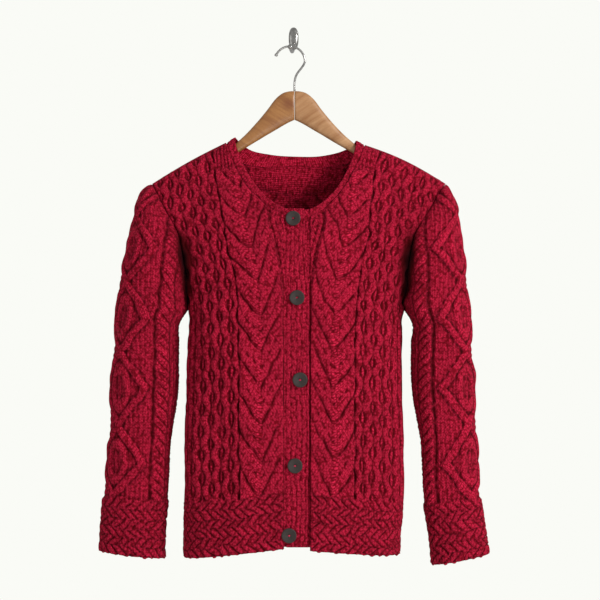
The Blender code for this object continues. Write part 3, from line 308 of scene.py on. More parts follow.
def smooth(table: tuple, t: float | Array) -> Array:
    """Values of a table at t by smooth interpolation.

    Args:
        table: rows whose first column is t.
        t: one place or many.

    Returns:
        One row of values for each place.
    """
    data = np.array(table, dtype=float)
    knots = data[:, 0]
    values = data[:, 1:]
    steps = np.diff(knots)[:, None]
    slopes = np.diff(values, axis=0) / steps
    tangents = np.empty_like(values)
    tangents[0] = slopes[0]
    tangents[-1] = slopes[-1]
    total = steps[1:] + steps[:-1]
    tangents[1:-1] = (steps[1:] * slopes[:-1] + steps[:-1] * slopes[1:]) / total
    place = np.clip(np.atleast_1d(np.asarray(t, dtype=float)), knots[0], knots[-1])
    cell = np.clip(np.searchsorted(knots, place) - 1, 0, len(knots) - 2)
    width = steps[cell]
    local = ((place - knots[cell])[:, None]) / width
    square = local * local
    cube = square * local
    result = (2 * cube - 3 * square + 1) * values[cell]
    result += (cube - 2 * square + local) * width * tangents[cell]
    result += (3 * square - 2 * cube) * values[cell + 1]
    result += (cube - square) * width * tangents[cell + 1]
    return result


def straight(table: tuple, t: float | Array) -> Array:
    """Values of a table at t by straight interpolation.

    Args:
        table: rows whose first column is t.
        t: one place or many.

    Returns:
        One row of values for each place.
    """
    data = np.array(table, dtype=float)
    places = np.atleast_1d(t)
    columns = range(1, data.shape[1])
    return np.stack([np.interp(places, data[:, 0], data[:, k]) for k in columns], axis=1)


def unit(vectors: Array) -> Array:
    """Unit vectors of the last axis."""
    return vectors / np.maximum(np.linalg.norm(vectors, axis=-1, keepdims=True), 1e-9)


def length_of(line: Array) -> Array:
    """Running length of a line of points."""
    return np.concatenate([[0.0], np.cumsum(np.linalg.norm(np.diff(line, axis=0), axis=1))])


def walk(line: Array, shares: Array) -> Array:
    """Points at shares of the length of a line."""
    run = length_of(line)
    return np.stack([np.interp(shares * run[-1], run, line[:, k]) for k in range(3)], axis=1)


def bow(inner: Array, outer: Array, power: float, sweep: float) -> Array:
    """A bowed line of the cloth: flat at the inner point, turned back at the outer one.

    Args:
        inner: where the line starts, facing forwards.
        outer: where it ends.
        power: how square the bow is.
        sweep: how far it turns, in degrees.

    Returns:
        The points of the line.
    """
    angle = np.radians(sweep) * np.linspace(0.0, 1.0, 161) ** 1.4
    across = np.sin(angle) ** (2.0 / power)
    depth = np.cos(angle) ** (2.0 / power)
    across = across / across[-1]
    depth = (depth - depth[-1]) / (1.0 - depth[-1])
    line = np.empty((len(angle), 3))
    line[:, 0] = inner[0] + (outer[0] - inner[0]) * across
    line[:, 1] = outer[1] + (inner[1] - outer[1]) * depth
    line[:, 2] = inner[2] + (outer[2] - inner[2]) * across
    return line


def shoulder_rise(side: Side, share: Array) -> Array:
    """Rise of the shoulder over a straight line, at shares from neck to tip."""
    return SHOULDER_RISE[side.value] * np.sin(np.pi * np.clip(share, 0.0, 1.0))


def armhole(side: Side, r: float, back: bool) -> Array:
    """Point of the armhole seam.

    Args:
        side: the wearer's side.
        r: row position.
        back: whether it is the back's edge.

    Returns:
        The point.
    """
    x, front_y, back_y, z = smooth(ARMHOLE, r)[0]
    if side is Side.LEFT:
        x = smooth(tuple((row[0], row[4]) for row in SLEEVE), r)[0][0]
    return np.array([x, back_y if back else front_y, z])


def outer_edge(side: Side, r: float, back: bool) -> Array:
    """Point of the side seam, or of the armhole seam above the underarm.

    Args:
        side: the wearer's side.
        r: row position.
        back: whether it is the back's edge.

    Returns:
        The point.
    """
    if r <= 1.0:
        x, z = smooth(SIDE[side.value], r)[0]
        return np.array([x, SIDE_Y, z])
    return armhole(side, r, back)


def ridge(distance: Array, half: float) -> Array:
    """Round profile of a strand, 1 at its middle and 0 from half its width on."""
    return np.sqrt(np.clip(1.0 - (distance / half) ** 2, 0.0, None))


def oval(wave: Array, power: float) -> Array:
    """Squares up a sine or cosine by a power below 1, with its sign kept."""
    return np.sign(wave) * np.abs(wave) ** power


def notch(distance: Array, width: float) -> Array:
    """Soft profile of a crease, 1 in it and 0 away from it."""
    return np.exp(-(distance / width) ** 2)


@dataclass
class Cloth:
    """A knitted surface, row by row, before its cables are raised.

    Args:
        points: rows by columns by 3, millimetres.
        across: knit place of each point across its columns.
        up: knit place of each point from the first row.
        edge: share of the relief that the seams leave at each point.
    """

    points: Array
    across: Array
    up: Array
    edge: Array


@dataclass(frozen=True)
class Crease:
    """A soft fold in a knitted piece, from one knit place to another.

    Args:
        start: across and up of its first end.
        end: across and up of its last end.
        width: how broad it is.
        height: how far it stands out, or in where it is below 0.
    """

    start: tuple[float, float]
    end: tuple[float, float]
    width: float
    height: float

    def lift(self, across: Array, up: Array) -> Array:
        """How far the cloth moves out.

        Args:
            across: knit place across.
            up: knit place up.

        Returns:
            The move at each place.
        """
        run = np.array(self.end) - np.array(self.start)
        size = float(np.hypot(*run))
        way = run / size
        along = (across - self.start[0]) * way[0] + (up - self.start[1]) * way[1]
        off = (across - self.start[0]) * way[1] - (up - self.start[1]) * way[0]
        fade = np.clip(np.minimum(along, size - along) / (0.45 * size) + 0.35, 0.0, 1.0)
        fade = fade * fade * (3.0 - 2.0 * fade)
        return self.height * fade * np.exp(-(off / self.width) ** 2)


def creases(*rows: tuple[float, ...]) -> tuple[Crease, ...]:
    """Makes creases of rows that give start, end, width and height."""
    return tuple(Crease(row[:2], row[2:4], *row[4:]) for row in rows)


FRONT_CREASES = creases(
    (150.0, 345.0, 96.0, 215.0, 17.0, -3.0), (128.0, 352.0, 60.0, 262.0, 12.0, 2.2),
    (44.0, 60.0, 62.0, 240.0, 24.0, 2.4), (104.0, 20.0, 92.0, 150.0, 19.0, -2.6),
    (20.0, 300.0, 88.0, 520.0, 22.0, 1.8), (140.0, 40.0, 133.0, 210.0, 14.0, 1.9),
)
OTHER_FRONT_CREASES = creases(
    (146.0, 338.0, 104.0, 232.0, 14.0, -2.7), (132.0, 350.0, 52.0, 286.0, 13.0, 2.0),
    (36.0, 90.0, 54.0, 300.0, 21.0, 2.2), (86.0, 16.0, 98.0, 170.0, 22.0, -2.4),
    (30.0, 330.0, 96.0, 500.0, 18.0, 1.6), (126.0, 60.0, 138.0, 190.0, 16.0, 2.1),
)
BACK_CREASES = creases(
    (150.0, 340.0, 80.0, 200.0, 20.0, -3.0), (120.0, 352.0, 30.0, 270.0, 16.0, 2.4),
    (60.0, 20.0, 74.0, 230.0, 24.0, 2.6), (110.0, 30.0, 98.0, 180.0, 18.0, -2.8),
    (10.0, 420.0, 120.0, 520.0, 20.0, 2.0),
)
SLEEVE_CREASES = creases(
    (-104.0, 372.0, -26.0, 436.0, 12.0, -3.4), (-96.0, 344.0, -10.0, 384.0, 10.0, 2.8),
    (-88.0, 300.0, -30.0, 322.0, 13.0, -2.4), (104.0, 366.0, 20.0, 448.0, 14.0, -3.2),
    (70.0, 250.0, -6.0, 292.0, 15.0, 2.2), (-60.0, 150.0, 16.0, 196.0, 17.0, -2.2),
)
OTHER_SLEEVE_CREASES = creases(
    (-108.0, 380.0, -34.0, 424.0, 13.0, -3.2), (-92.0, 336.0, -22.0, 392.0, 11.0, 2.5),
    (-84.0, 286.0, -18.0, 318.0, 12.0, -2.6), (100.0, 374.0, 30.0, 440.0, 12.0, -3.0),
    (76.0, 232.0, 6.0, 268.0, 14.0, 2.4), (-66.0, 166.0, 10.0, 204.0, 15.0, -2.0),
)


def outward(points: Array, around: Array) -> Array:
    """Unit normals of a grid of points, on the side away from a place.

    Args:
        points: rows by columns by 3.
        around: the place, or one for each point, that the normals leave.

    Returns:
        A normal for each point.
    """
    normals = unit(np.cross(np.gradient(points, axis=1), np.gradient(points, axis=0)))
    if np.mean(np.sum(normals * (points - around), axis=-1)) < 0.0:
        normals = -normals
    return normals


def wander(u: Array, v: Array, size: float, seed: int) -> Array:
    """Slow uneven drift of hand knitting over a piece.

    Args:
        u: knit place across.
        v: knit place up.
        size: how far it drifts, about.
        seed: which drift.

    Returns:
        The drift at each place.
    """
    pick = np.random.default_rng(seed)
    total = np.zeros_like(u)
    for _ in range(9):
        way = pick.uniform(0.0, np.pi)
        pace = 2.0 * np.pi / pick.uniform(19.0, 95.0)
        total += np.sin(pace * (u * np.cos(way) + v * np.sin(way)) + pick.uniform(0.0, 6.28))
    return size * total / 3.0


@dataclass(frozen=True)
class Lattice:
    """Woven border of short bars that lean one way and the other, row by row.

    Args:
        row: knit length of a row of bars.
        pitch: from one bar to the next.
        lean: how far a bar leans over its row.
        half: half width of a bar.
        ground: height between the bars.
        height: how far a bar stands out above that.
        taper: share of its height that a bar loses at its ends.
        join: knit length over which the border goes over into the cables.
    """

    row: float = 13.333
    pitch: float = 12.8
    lean: float = 13.0
    half: float = 6.1
    ground: float = 0.8
    height: float = 4.1
    taper: float = 0.16
    join: float = 6.0

    def relief(self, u: Array, v: Array) -> tuple[Array, Array]:
        """Raises the bars.

        Args:
            u: knit place across.
            v: knit place up.

        Returns:
            Height, and the place across the stitch columns.
        """
        row = np.floor(v / self.row)
        part = v / self.row - row - 0.5
        way = np.where(row % 2 == 0, 1.0, -1.0)
        place = u - way * self.lean * part - 0.5 * self.pitch * (row % 2)
        off = np.abs((place + 0.5 * self.pitch) % self.pitch - 0.5 * self.pitch)
        bar = ridge(off, self.half) * (1.0 - self.taper * np.abs(2.0 * part) ** 8)
        return self.ground + self.height * bar, place

    def below(self, u: Array, v: Array, height: Array, place: Array) -> tuple[Array, Array]:
        """Puts the border below the cables of a piece.

        Args:
            u: knit place across.
            v: knit place up.
            height: height of the cables.
            place: their place across the stitch columns.

        Returns:
            Height, and the place across the stitch columns.
        """
        low, low_place = self.relief(u, v)
        blend = np.clip((v - LATTICE_TOP + 0.5 * self.join) / self.join, 0.0, 1.0)
        return (low * (1.0 - blend) + height * blend,
                np.where(v < LATTICE_TOP, low_place, place))


@dataclass(frozen=True)
class Honeycomb:
    """Thick wavy strands round small open lozenges.

    Args:
        pitch: from one strand to the next.
        swing: how far a strand swings to either side.
        height: how far it stands out.
        half: its half width.
        cord: height and half width of the thin cord inside the lozenges.
    """

    pitch: float = 15.5
    swing: float = 3.0
    height: float = 4.4
    half: float = 5.5
    cord: float = 1.6

    def relief(self, u: Array, v: Array) -> tuple[Array, Array]:
        """Raises the strands.

        Args:
            u: knit place across.
            v: knit place up.

        Returns:
            Height, and the place across the stitch columns.
        """
        wave = np.cos(2.0 * np.pi * (v - LATTICE_TOP) / COMB_REPEAT)
        wave = oval(wave, 0.8)
        height = np.zeros_like(u)
        base = np.floor(u / self.pitch)
        for step in (-1, 0, 1):
            number = base + step
            sign = np.where(number % 2 == 0, 1.0, -1.0)
            middle = (number + 0.5) * self.pitch + self.swing * sign * wave
            height = np.maximum(height, self.height * ridge(u - middle, self.half))
        cord = self.cord * ridge(u - np.rint(u / self.pitch) * self.pitch, self.cord)
        shift = self.swing * np.sin(np.pi * u / self.pitch) * wave
        return np.maximum(height, cord), u - shift


@dataclass(frozen=True)
class PointedPanel:
    """Nested broad arms that meet in points down the middle of a front.

    Args:
        repeat: knit length from point to point.
        slant: width across an arm for each millimetre up the panel.
        half: half width of an arm.
        height: how far an arm stands out.
        ground: share of that height left at the edge of an arm.
        crease: depth of the crease between two arms, and its width.
        parting: depth of the line down the middle of an arm, and its width.
        point: depth of the dent under each point, and its width.
        inner_rise: how steeply the arms rise on the band's side, and how they curve.
        outer_rise: the same on the honeycomb's side.
        stagger: share of a repeat by which the sides miss each other, and over what width.
    """

    repeat: float = 52.0
    slant: float = 0.55
    half: float = 15.5
    height: float = 5.8
    ground: float = 0.25
    crease: tuple[float, float] = (2.5, 2.4)
    parting: tuple[float, float] = (2.3, 1.8)
    point: tuple[float, float] = (1.0, 1.6)
    inner_rise: tuple[float, float] = (1.5, 0.008)
    outer_rise: tuple[float, float] = (1.05, 0.014)
    stagger: tuple[float, float] = (0.10, 9.0)

    def relief(self, u: Array, v: Array) -> tuple[Array, Array]:
        """Raises the arms.

        Args:
            u: knit place across.
            v: knit place up.

        Returns:
            Height, and the place across the stitch columns.
        """
        off = u - 0.5 * PANEL_EDGE
        far = np.abs(off)
        outside = off > 0.0
        rise = np.where(outside, self.outer_rise[0] * far + self.outer_rise[1] * far * far,
                        self.inner_rise[0] * far + self.inner_rise[1] * far * far)
        phase = (v - LATTICE_TOP - rise) / self.repeat
        phase = phase + self.stagger[0] * np.tanh(off / self.stagger[1])
        near = (phase - np.rint(phase)) * self.repeat * self.slant
        along = (phase + 0.5 - np.rint(phase + 0.5)) * self.repeat * self.slant
        swell = self.ground + (1.0 - self.ground) * ridge(along, self.half)
        # the parting and the creases come and go, as between hand-knitted stitches
        beads = 0.55 + 0.45 * np.sin(2.0 * np.pi * far / 9.0)
        broken = 0.68 + 0.32 * np.sin(2.0 * np.pi * (far / 10.5 + 0.37 * np.rint(phase)))
        deep = np.where(outside, 0.55 + 0.45 * np.tanh((far - 9.0) / 6.0),
                        1.0 - 0.45 * np.tanh(far / 14.0))
        height = self.height * swell
        height = height - self.crease[0] * deep * broken * notch(near, self.crease[1])
        height = height - self.parting[0] * (notch(along, self.parting[1]) * beads)
        height = height - self.point[0] * notch(off, self.point[1]) * notch(near + 6.0, 6.0)
        return height, phase * self.repeat * self.slant


@dataclass(frozen=True)
class BodyPattern:
    """Cables of a front or of half the back, 0 across where the pointed panel starts.

    Args:
        gusset: pitch of the ribs before the panel.
        rib: height of the ground and of the ribs, and depth of the pits beside them.
        crown: knit length where the fine ribs of the shoulder start, and its slope.
        fine: height of the ground and of the fine ribs, and their pitch.
        gutter: depth of the purl gutter beside the honeycomb, how it varies, its width.
    """

    gusset: float
    rib: tuple[float, float, float] = (1.2, 2.1, 1.3)
    crown: tuple[float, float] = (560.0, 0.25)
    fine: tuple[float, float, float] = (1.4, 1.9, 5.6)
    gutter: tuple[float, float, float] = (1.9, 0.9, 1.6)
    lattice: Lattice = Lattice()
    comb: Honeycomb = Honeycomb()
    panel: PointedPanel = PointedPanel()

    def ribs(self, u: Array, v: Array) -> Array:
        """Raises the ribs between band and panel.

        Args:
            u: knit place across.
            v: knit place up.

        Returns:
            Height in millimetres.
        """
        turn = np.pi * u / self.gusset
        dash = 0.75 + 0.25 * np.sin(2.0 * np.pi * (v / 9.5 + np.rint(u / self.gusset) * 0.5))
        pit = np.sin(2.0 * np.pi * (v / 13.0 + 0.3 * np.floor(u / self.gusset)))
        ground, height, depth = self.rib
        high = ground + height * np.cos(turn) ** 2 * dash
        return high - depth * np.clip(pit, 0.0, 1.0) * np.sin(turn) ** 4

    def relief(self, u: Array, v: Array) -> tuple[Array, Array]:
        """Raises all cables of the piece.

        Args:
            u: knit place across.
            v: knit place up from the hem.

        Returns:
            Height, and the place across the stitch columns.
        """
        comb, comb_place = self.comb.relief(u, v)
        panel, panel_place = self.panel.relief(u, v)
        ground, height, pitch = self.fine
        fine = ground + height * np.cos(np.pi * (u + 0.12 * v) / pitch) ** 2
        crown = np.clip((v - self.crown[0] - self.crown[1] * u) / 10.0, 0.0, 1.0)
        height = np.where(u < 0.0, self.ribs(u, v), panel) * (1.0 - crown) + fine * crown
        place = np.where((u < 0.0) | (crown > 0.5), u, panel_place)
        side = u > PANEL_EDGE + 1.0
        height = np.where(side, comb, height)
        place = np.where(side, comb_place, place)
        mean, change, width = self.gutter
        deep = mean + change * np.sin(2.0 * np.pi * v / 0.5 / COMB_REPEAT)
        height = height - deep * notch(u - PANEL_EDGE - 1.5, width)
        return self.lattice.below(u, v, height, place)


@dataclass(frozen=True)
class SleevePattern:
    """Cables of a sleeve: crossing diamonds, ropes beside them, then ribs.

    Args:
        repeat: knit length of a diamond.
        start: how far below the cuff's top the first diamond starts.
        spread: half width of a diamond, from its middle.
        strand: height and half width of its strands.
        loop: half width and half length of the loop inside it.
        loop_strand: height and half width of the loop's strand.
        plain: height of the ground and of the ribs inside the diamonds, and their pitch.
        rope: height and half width of a rope.
        rope_at: distance of the ropes from the middle.
        twist: knit length between two turns of a rope.
        rib: height of the ground and of the ribs beyond the ropes, and their pitch.
        rib_at: place of the first of those ribs.
        gutter: depth of the purl gutter beside a rope, how it varies, its width.
    """

    repeat: float = 105.0
    start: float = 24.0
    spread: float = 40.0
    strand: tuple[float, float] = (4.8, 6.0)
    loop: tuple[float, float] = (13.5, 27.0)
    loop_strand: tuple[float, float] = (4.0, 4.6)
    plain: tuple[float, float, float] = (0.5, 1.7, 7.0)
    rope: tuple[float, float] = (5.4, 11.5)
    rope_at: float = 66.0
    twist: float = 15.0
    rib: tuple[float, float, float] = (0.5, 2.3, 8.0)
    rib_at: float = 84.0
    gutter: tuple[float, float, float] = (1.2, 0.9, 1.8)
    lattice: Lattice = Lattice()

    def diamonds(self, u: Array, v: Array) -> tuple[Array, Array]:
        """Raises the diamonds, the loops in them and the ribs of their ground.

        Args:
            u: knit place across.
            v: knit place up.

        Returns:
            Height in millimetres, and the distance from the strands' middle.
        """
        turn = ((v + self.start) / self.repeat) % 1.0
        reach = self.spread * (1.0 - np.abs(2.0 * turn - 1.0))
        off = (np.abs(u) - reach) * 0.8
        strand = self.strand[0] * ridge(off, self.strand[1]) - 0.7 * notch(off, 0.8)
        centre = (turn - 0.5) * self.repeat
        ring = np.sqrt((u / self.loop[0]) ** 2 + (centre / self.loop[1]) ** 2)
        loop = self.loop_strand[0] * ridge(np.abs(ring - 1.0) * 12.0, self.loop_strand[1])
        ground, height, pitch = self.plain
        dash = 0.7 + 0.3 * np.sin(2.0 * np.pi * v / 10.5)
        plain = ground + height * np.cos(np.pi * u / pitch) ** 2 * dash
        return np.maximum(np.maximum(strand, loop), plain), off

    def relief(self, u: Array, v: Array) -> tuple[Array, Array]:
        """Raises all cables of the sleeve.

        Args:
            u: knit place across, 0 down the middle of the diamonds.
            v: knit place up from the cuff.

        Returns:
            Height, and the place across the stitch columns.
        """
        far = np.abs(u)
        height, off = self.diamonds(u, v)
        side = u - np.sign(u) * self.rope_at
        turn = (v + 0.95 * side * np.sign(u)) / self.twist
        rope = self.rope[0] * ridge(side, self.rope[1])
        rope = rope * (0.2 + 0.8 * np.abs(np.sin(np.pi * turn)) ** 0.6)
        ground, high, pitch = self.rib
        rib = ground + high * np.cos(np.pi * (u - np.sign(u) * self.rib_at) / pitch) ** 2
        rib = rib * (0.7 + 0.3 * np.sin(2.0 * np.pi * (v / 9.5 + np.rint(u / pitch) * 0.5)))
        height = np.where(far > self.spread + 9.0, np.maximum(rope, 0.2), height)
        height = np.where(far > self.rope_at + 13.0, rib, height)
        mean, change, width = self.gutter
        deep = mean + change * np.sin(2.0 * np.pi * v / 17.0) * np.sin(2.0 * np.pi * v / 41.0)
        height = height - deep * notch(far - self.rope_at + 13.5, width)
        place = np.where(np.abs(off) < 6.6, off, u)
        place = np.where(np.abs(side) < 11.0, turn * 10.0, place)
        return self.lattice.below(u, v, height, place)


def knit_rows(low: float, high: float, step: float, top: float) -> tuple[Array, Array]:
    """Rows of a piece from hem or cuff to the shoulder.

    Args:
        low: knit length below the underarm.
        high: knit length above it.
        step: spacing of the rows.
        top: row position of the last.

    Returns:
        Row positions, and the knit place up of each.
    """
    rows = np.concatenate([np.linspace(0.0, 1.0, int(low / step)),
                           np.linspace(1.0, top, int(high / step))[1:]])
    return rows, np.where(rows <= 1.0, rows * low, low + (rows - 1.0) * high)


def body_fade(r: Array, from_inner: Array, from_outer: Array) -> Array:
    """Share of the relief that the seams of a body piece leave.

    Args:
        r: row position of each point.
        from_inner: its distance from the band or neck.
        from_outer: its distance from the side or armhole seam.

    Returns:
        The share at each point.
    """
    reach = SEAM_REACH + UNDERARM_REACH * notch(r - 1.0, UNDERARM_ROWS)
    fade = np.clip(from_outer / reach, 0.0, 1.0) * np.clip(0.3 + from_inner / 3.0, 0.0, 1.0)
    top = np.clip((2.0 - r) * FRONT_HIGH / 8.0, 0.0, 1.0)
    return np.sin(0.5 * np.pi * fade) * top


def armhole_shadow(off: Array, above: Array, rise: float) -> Array:
    """Painted shadow of a place in the fold between body and sleeve, by how deep it lies.

    Args:
        off: distance from the armhole seam.
        above: knit length above the underarm.
        rise: knit length from underarm to shoulder.

    Returns:
        0 outside the fold to 1 in it.
    """
    part = above / rise
    ends = np.clip((part + 0.10) / 0.10, 0.0, 1.0) * np.clip((0.62 - part) / 0.25, 0.0, 1.0)
    return FOLD_SHADOW_DEPTH * ends * notch(off, FOLD_SHADOW_WIDTH)


def crease_shade_share(height: Array, reach: int) -> Array:
    """Painted shade of each place of a relief, by how far it lies in a crease between higher ones.

    Args:
        height: the relief, rows by columns.
        reach: columns and rows to either side that count.

    Returns:
        0 on the strands to 1 in the creases.
    """
    mean = height
    for axis in (0, 1):
        pad = [(0, 0), (0, 0)]
        pad[axis] = (reach + 1, reach)
        run = np.cumsum(np.pad(mean, pad, mode="edge"), axis=axis)
        low = np.take(run, range(0, height.shape[axis]), axis=axis)
        high = np.take(run, range(2 * reach + 1, 2 * reach + 1 + height.shape[axis]), axis=axis)
        mean = (high - low) / (2 * reach + 1)
    return np.clip((mean - height + CREASE_SHADE_START) / CREASE_SHADE_DEPTH, 0.0, 1.0)


def grid_mesh(points: Array, closed: bool) -> tuple[Work, Array]:
    """Starts a mesh from a flat grid and lays it on rows of points.

    Args:
        points: rows by columns by 3, metres.
        closed: whether the first and last columns are the same line.

    Returns:
        The mesh, and the row and column of each of its first vertices.
    """
    rows, columns = points.shape[:2]
    work = bmesh.new()
    bmesh.ops.create_grid(work, x_segments=columns - 1, y_segments=rows - 1, size=0.5,
                          calc_uvs=False)
    places = np.array([vert.co[:2] for vert in work.verts]) + 0.5
    column = np.rint(places[:, 0] * (columns - 1)).astype(int)
    row = np.rint(places[:, 1] * (rows - 1)).astype(int)
    laid = points[row, column]
    for vert, place in zip(work.verts, laid):
        vert.co = place
    if closed:
        bmesh.ops.remove_doubles(work, verts=work.verts, dist=1e-6)
    return work, np.stack([row, column], axis=1)


def finish_object(name: str, work: Work, materials: list[bpy.types.Material]) -> bpy.types.Object:
    """Makes a smooth object of a mesh, dressed and riding on the root body.

    Args:
        name: the piece's name.
        work: its mesh, which is freed.
        materials: its materials in slot order.

    Returns:
        The object, at the origin.
    """
    mesh = bpy.data.meshes.new(name)
    for face in work.faces:
        face.smooth = True
    work.to_mesh(mesh)
    work.free()
    for material in materials:
        mesh.materials.append(material)
    piece = bpy.data.objects.new(name, mesh)
    bpy.context.scene.collection.objects.link(piece)
    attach(piece, "root")
    LOG.info("%s: %d faces", name, len(mesh.polygons))
    return piece


def round_bar(rings: Array) -> Work:
    """A closed bar through rings of points, capped at both ends.

    Args:
        rings: rings by points by 3, metres, each ring open.

    Returns:
        The mesh, facing out.
    """
    wrapped = np.concatenate([rings, rings[:, :1]], axis=1)
    work, _ = grid_mesh(wrapped, True)
    rim = [edge for edge in work.edges if edge.is_boundary]
    bmesh.ops.holes_fill(work, edges=rim, sides=0)
    bmesh.ops.recalc_face_normals(work, faces=work.faces)
    return work


def tube_rings(path: Array, radii: Array, sides: int) -> Array:
    """Rings of points round a path, without twist.

    Args:
        path: its points, millimetres.
        radii: one radius for each.
        sides: points of a ring.

    Returns:
        Rings by points by 3, metres.
    """
    frame = np.array([0.0, 1.0, 0.0])
    angles = np.linspace(0.0, 2.0 * np.pi, sides, endpoint=False)
    rings = []
    for k, centre in enumerate(path):
        along = unit(path[min(k + 1, len(path) - 1)] - path[max(k - 1, 0)])
        if abs(float(np.dot(along, frame))) > 0.9:
            frame = np.array([1.0, 0.0, 0.0])
        across = unit(frame - along * np.dot(frame, along))
        above = np.cross(along, across)
        frame = across
        circle = np.cos(angles)[:, None] * across + np.sin(angles)[:, None] * above
        rings.append(centre + radii[k] * circle)
    return np.array(rings) * MM


def start_material(name: str) -> tuple[bpy.types.Material, Tree, bpy.types.Node]:
    """Starts a material.

    Args:
        name: what the real one is.

    Returns:
        The material, its node tree and its shader.
    """
    material = bpy.data.materials.new(name)
    material.use_nodes = True
    tree = material.node_tree
    return material, tree, tree.nodes["Principled BSDF"]


def join_shader(tree: Tree, shader: bpy.types.Node, sources: dict[str, Socket]) -> None:
    """Links sources to the shader's sockets.

    Args:
        tree: the material's node tree.
        shader: its shader.
        sources: output sockets by the name of the shader's input.
    """
    for name, source in sources.items():
        tree.links.new(source, shader.inputs[name])


@dataclass(frozen=True)
class WoolKnit:
    """Spun sheep's wool, hand knitted.

    It looks matt and fuzzy, with painted light on top of the loops and painted shade between them.
    Real stitches of this yarn are about 4 mm wide and 3 mm high, and their gaps
    under 1 mm. They are drawn 4.4 by 3.8 mm with gaps 3.9 mm apart, so that
    they show at the size of the picture.

    Args:
        name: what the real one is.
        bright: painted lit colour on top of the loops.
        deep: painted shade colour between the loops.
        painted_shade: painted shade colour in the creases between cables.
        fold: painted shadow colour deep between folded layers.
        wale: width of a stitch, millimetres.
        course: height of a stitch, millimetres.
        gap: from one gap with painted shadow to the next, millimetres.
        rough: roughness of the fibres.
        purl: whether it is the inside, with rows of bumps.
    """

    name: str
    # painted light on top of the loops, painted shade between them
    bright: str = "D82448"
    deep: str = "700212"
    # painted shade colour of the creases
    painted_shade: str = "480006"
    # painted shadow colour of the fold beside the armhole
    fold: str = "160002"
    wale: float = 4.4
    course: float = 3.8
    gap: float = 3.9
    rough: float = 0.94
    purl: bool = False

    def loops(self, tree: Tree, drift: Socket) -> Socket:
        """Height of the loops, from the piece's own map of stitches in millimetres.

        Args:
            tree: the material's node tree.
            drift: object coordinates.

        Returns:
            The socket that gives the height, fibres included.
        """
        place = add_node(tree, "ShaderNodeUVMap", {"uv_map": "stitches"})
        parts = add_node(tree, "ShaderNodeSeparateXYZ", {}, {0: place.outputs[0]})
        # hand knitting sways by a third of a stitch over about 4 mm
        uneven = add_node(tree, "ShaderNodeTexNoise", {"Scale": 260.0, "Detail": 1.0},
                          {"Vector": drift})
        across = add_node(tree, "ShaderNodeMath", {"operation": "DIVIDE", 1: self.wale},
                          {0: parts.outputs[0]})
        sway = add_node(tree, "ShaderNodeMath", {"operation": "MULTIPLY_ADD", 1: 0.35},
                        {0: uneven.outputs[0], 2: across.outputs[0]})
        cell = add_node(tree, "ShaderNodeMath", {"operation": "FRACT"}, {0: sway.outputs[0]})
        centred = add_node(tree, "ShaderNodeMath", {"operation": "SUBTRACT", 1: 0.5},
                           {0: cell.outputs[0]})
        far = add_node(tree, "ShaderNodeMath", {"operation": "ABSOLUTE"}, {0: centred.outputs[0]})
        legs = add_node(tree, "ShaderNodeMath", {"operation": "PINGPONG", 1: 0.25},
                        {0: far.outputs[0]})
        leg = add_node(tree, "ShaderNodeMath", {"operation": "MULTIPLY", 1: 4.0},
                       {0: legs.outputs[0]})
        rows = add_node(tree, "ShaderNodeMath", {"operation": "DIVIDE", 1: self.course},
                        {0: parts.outputs[1]})
        # the two legs of a stitch lean to its middle, the bumps of the inside hardly do
        lean = add_node(tree, "ShaderNodeMath",
                        {"operation": "MULTIPLY_ADD", 1: 0.2 if self.purl else -1.7},
                        {0: far.outputs[0], 2: rows.outputs[0]})
        jitter = add_node(tree, "ShaderNodeMath", {"operation": "MULTIPLY_ADD", 1: 0.5},
                          {0: uneven.outputs[0], 2: lean.outputs[0]})
        loop = add_node(tree, "ShaderNodeMath", {"operation": "PINGPONG", 1: 0.5},
                        {0: jitter.outputs[0]})
        bead = add_node(tree, "ShaderNodeMath", {"operation": "MULTIPLY", 1: 2.0},
                        {0: loop.outputs[0]})
        both = add_node(tree, "ShaderNodeMath", {"operation": "MULTIPLY"},
                        {0: leg.outputs[0], 1: bead.outputs[0]})
        mound = add_node(tree, "ShaderNodeMath",
                         {"operation": "POWER", 1: 0.8, "use_clamp": True}, {0: both.outputs[0]})
        # stray fibres, about 0.7 mm apart
        fuzz = add_node(tree, "ShaderNodeTexNoise",
                        {"Scale": 1400.0, "Detail": 3.0, "Roughness": 0.7}, {"Vector": drift})
        fluffy = add_node(tree, "ShaderNodeMath", {"operation": "MULTIPLY_ADD", 1: 0.45},
                          {0: fuzz.outputs[0], 2: mound.outputs[0]})
        return fluffy.outputs[0]

    def yarn_colour(self, tree: Tree, drift: Socket, high: Socket) -> Socket:
        """Colour of the dyed yarn: painted light on the loops, painted shadow in the gaps, soft
        clouds of the dye.

        Args:
            tree: the material's node tree.
            drift: object coordinates.
            high: height of the loops.

        Returns:
            The socket that gives the colour.
        """
        # painted light and shade: loop tops take the lit colour, the places between them the
        # shaded one
        loop_light = add_node(tree, "ShaderNodeMapRange",
                        {"From Min": 0.22, "From Max": 0.62, "To Min": 0.0, "To Max": 1.0},
                        {"Value": high})
        # painted shadow: dark specks in the gaps between the stitches
        gaps = add_node(tree, "ShaderNodeTexVoronoi",
                        {"Scale": 1000.0 / self.gap, "Randomness": 0.8}, {"Vector": drift})
        gap_shadow = add_node(tree, "ShaderNodeMapRange",
                         {"From Min": 0.42, "From Max": 0.72, "To Min": 1.0, "To Max": 0.12},
                         {"Value": gaps.outputs["Distance"]})
        lit = add_node(tree, "ShaderNodeMath", {"operation": "MULTIPLY"},
                       {0: loop_light.outputs[0], 1: gap_shadow.outputs[0]})
        yarn = add_node(tree, "ShaderNodeMix",
                        {"data_type": "RGBA", 6: linear_colour(self.deep),
                         7: linear_colour(self.bright)}, {0: lit.outputs[0]})
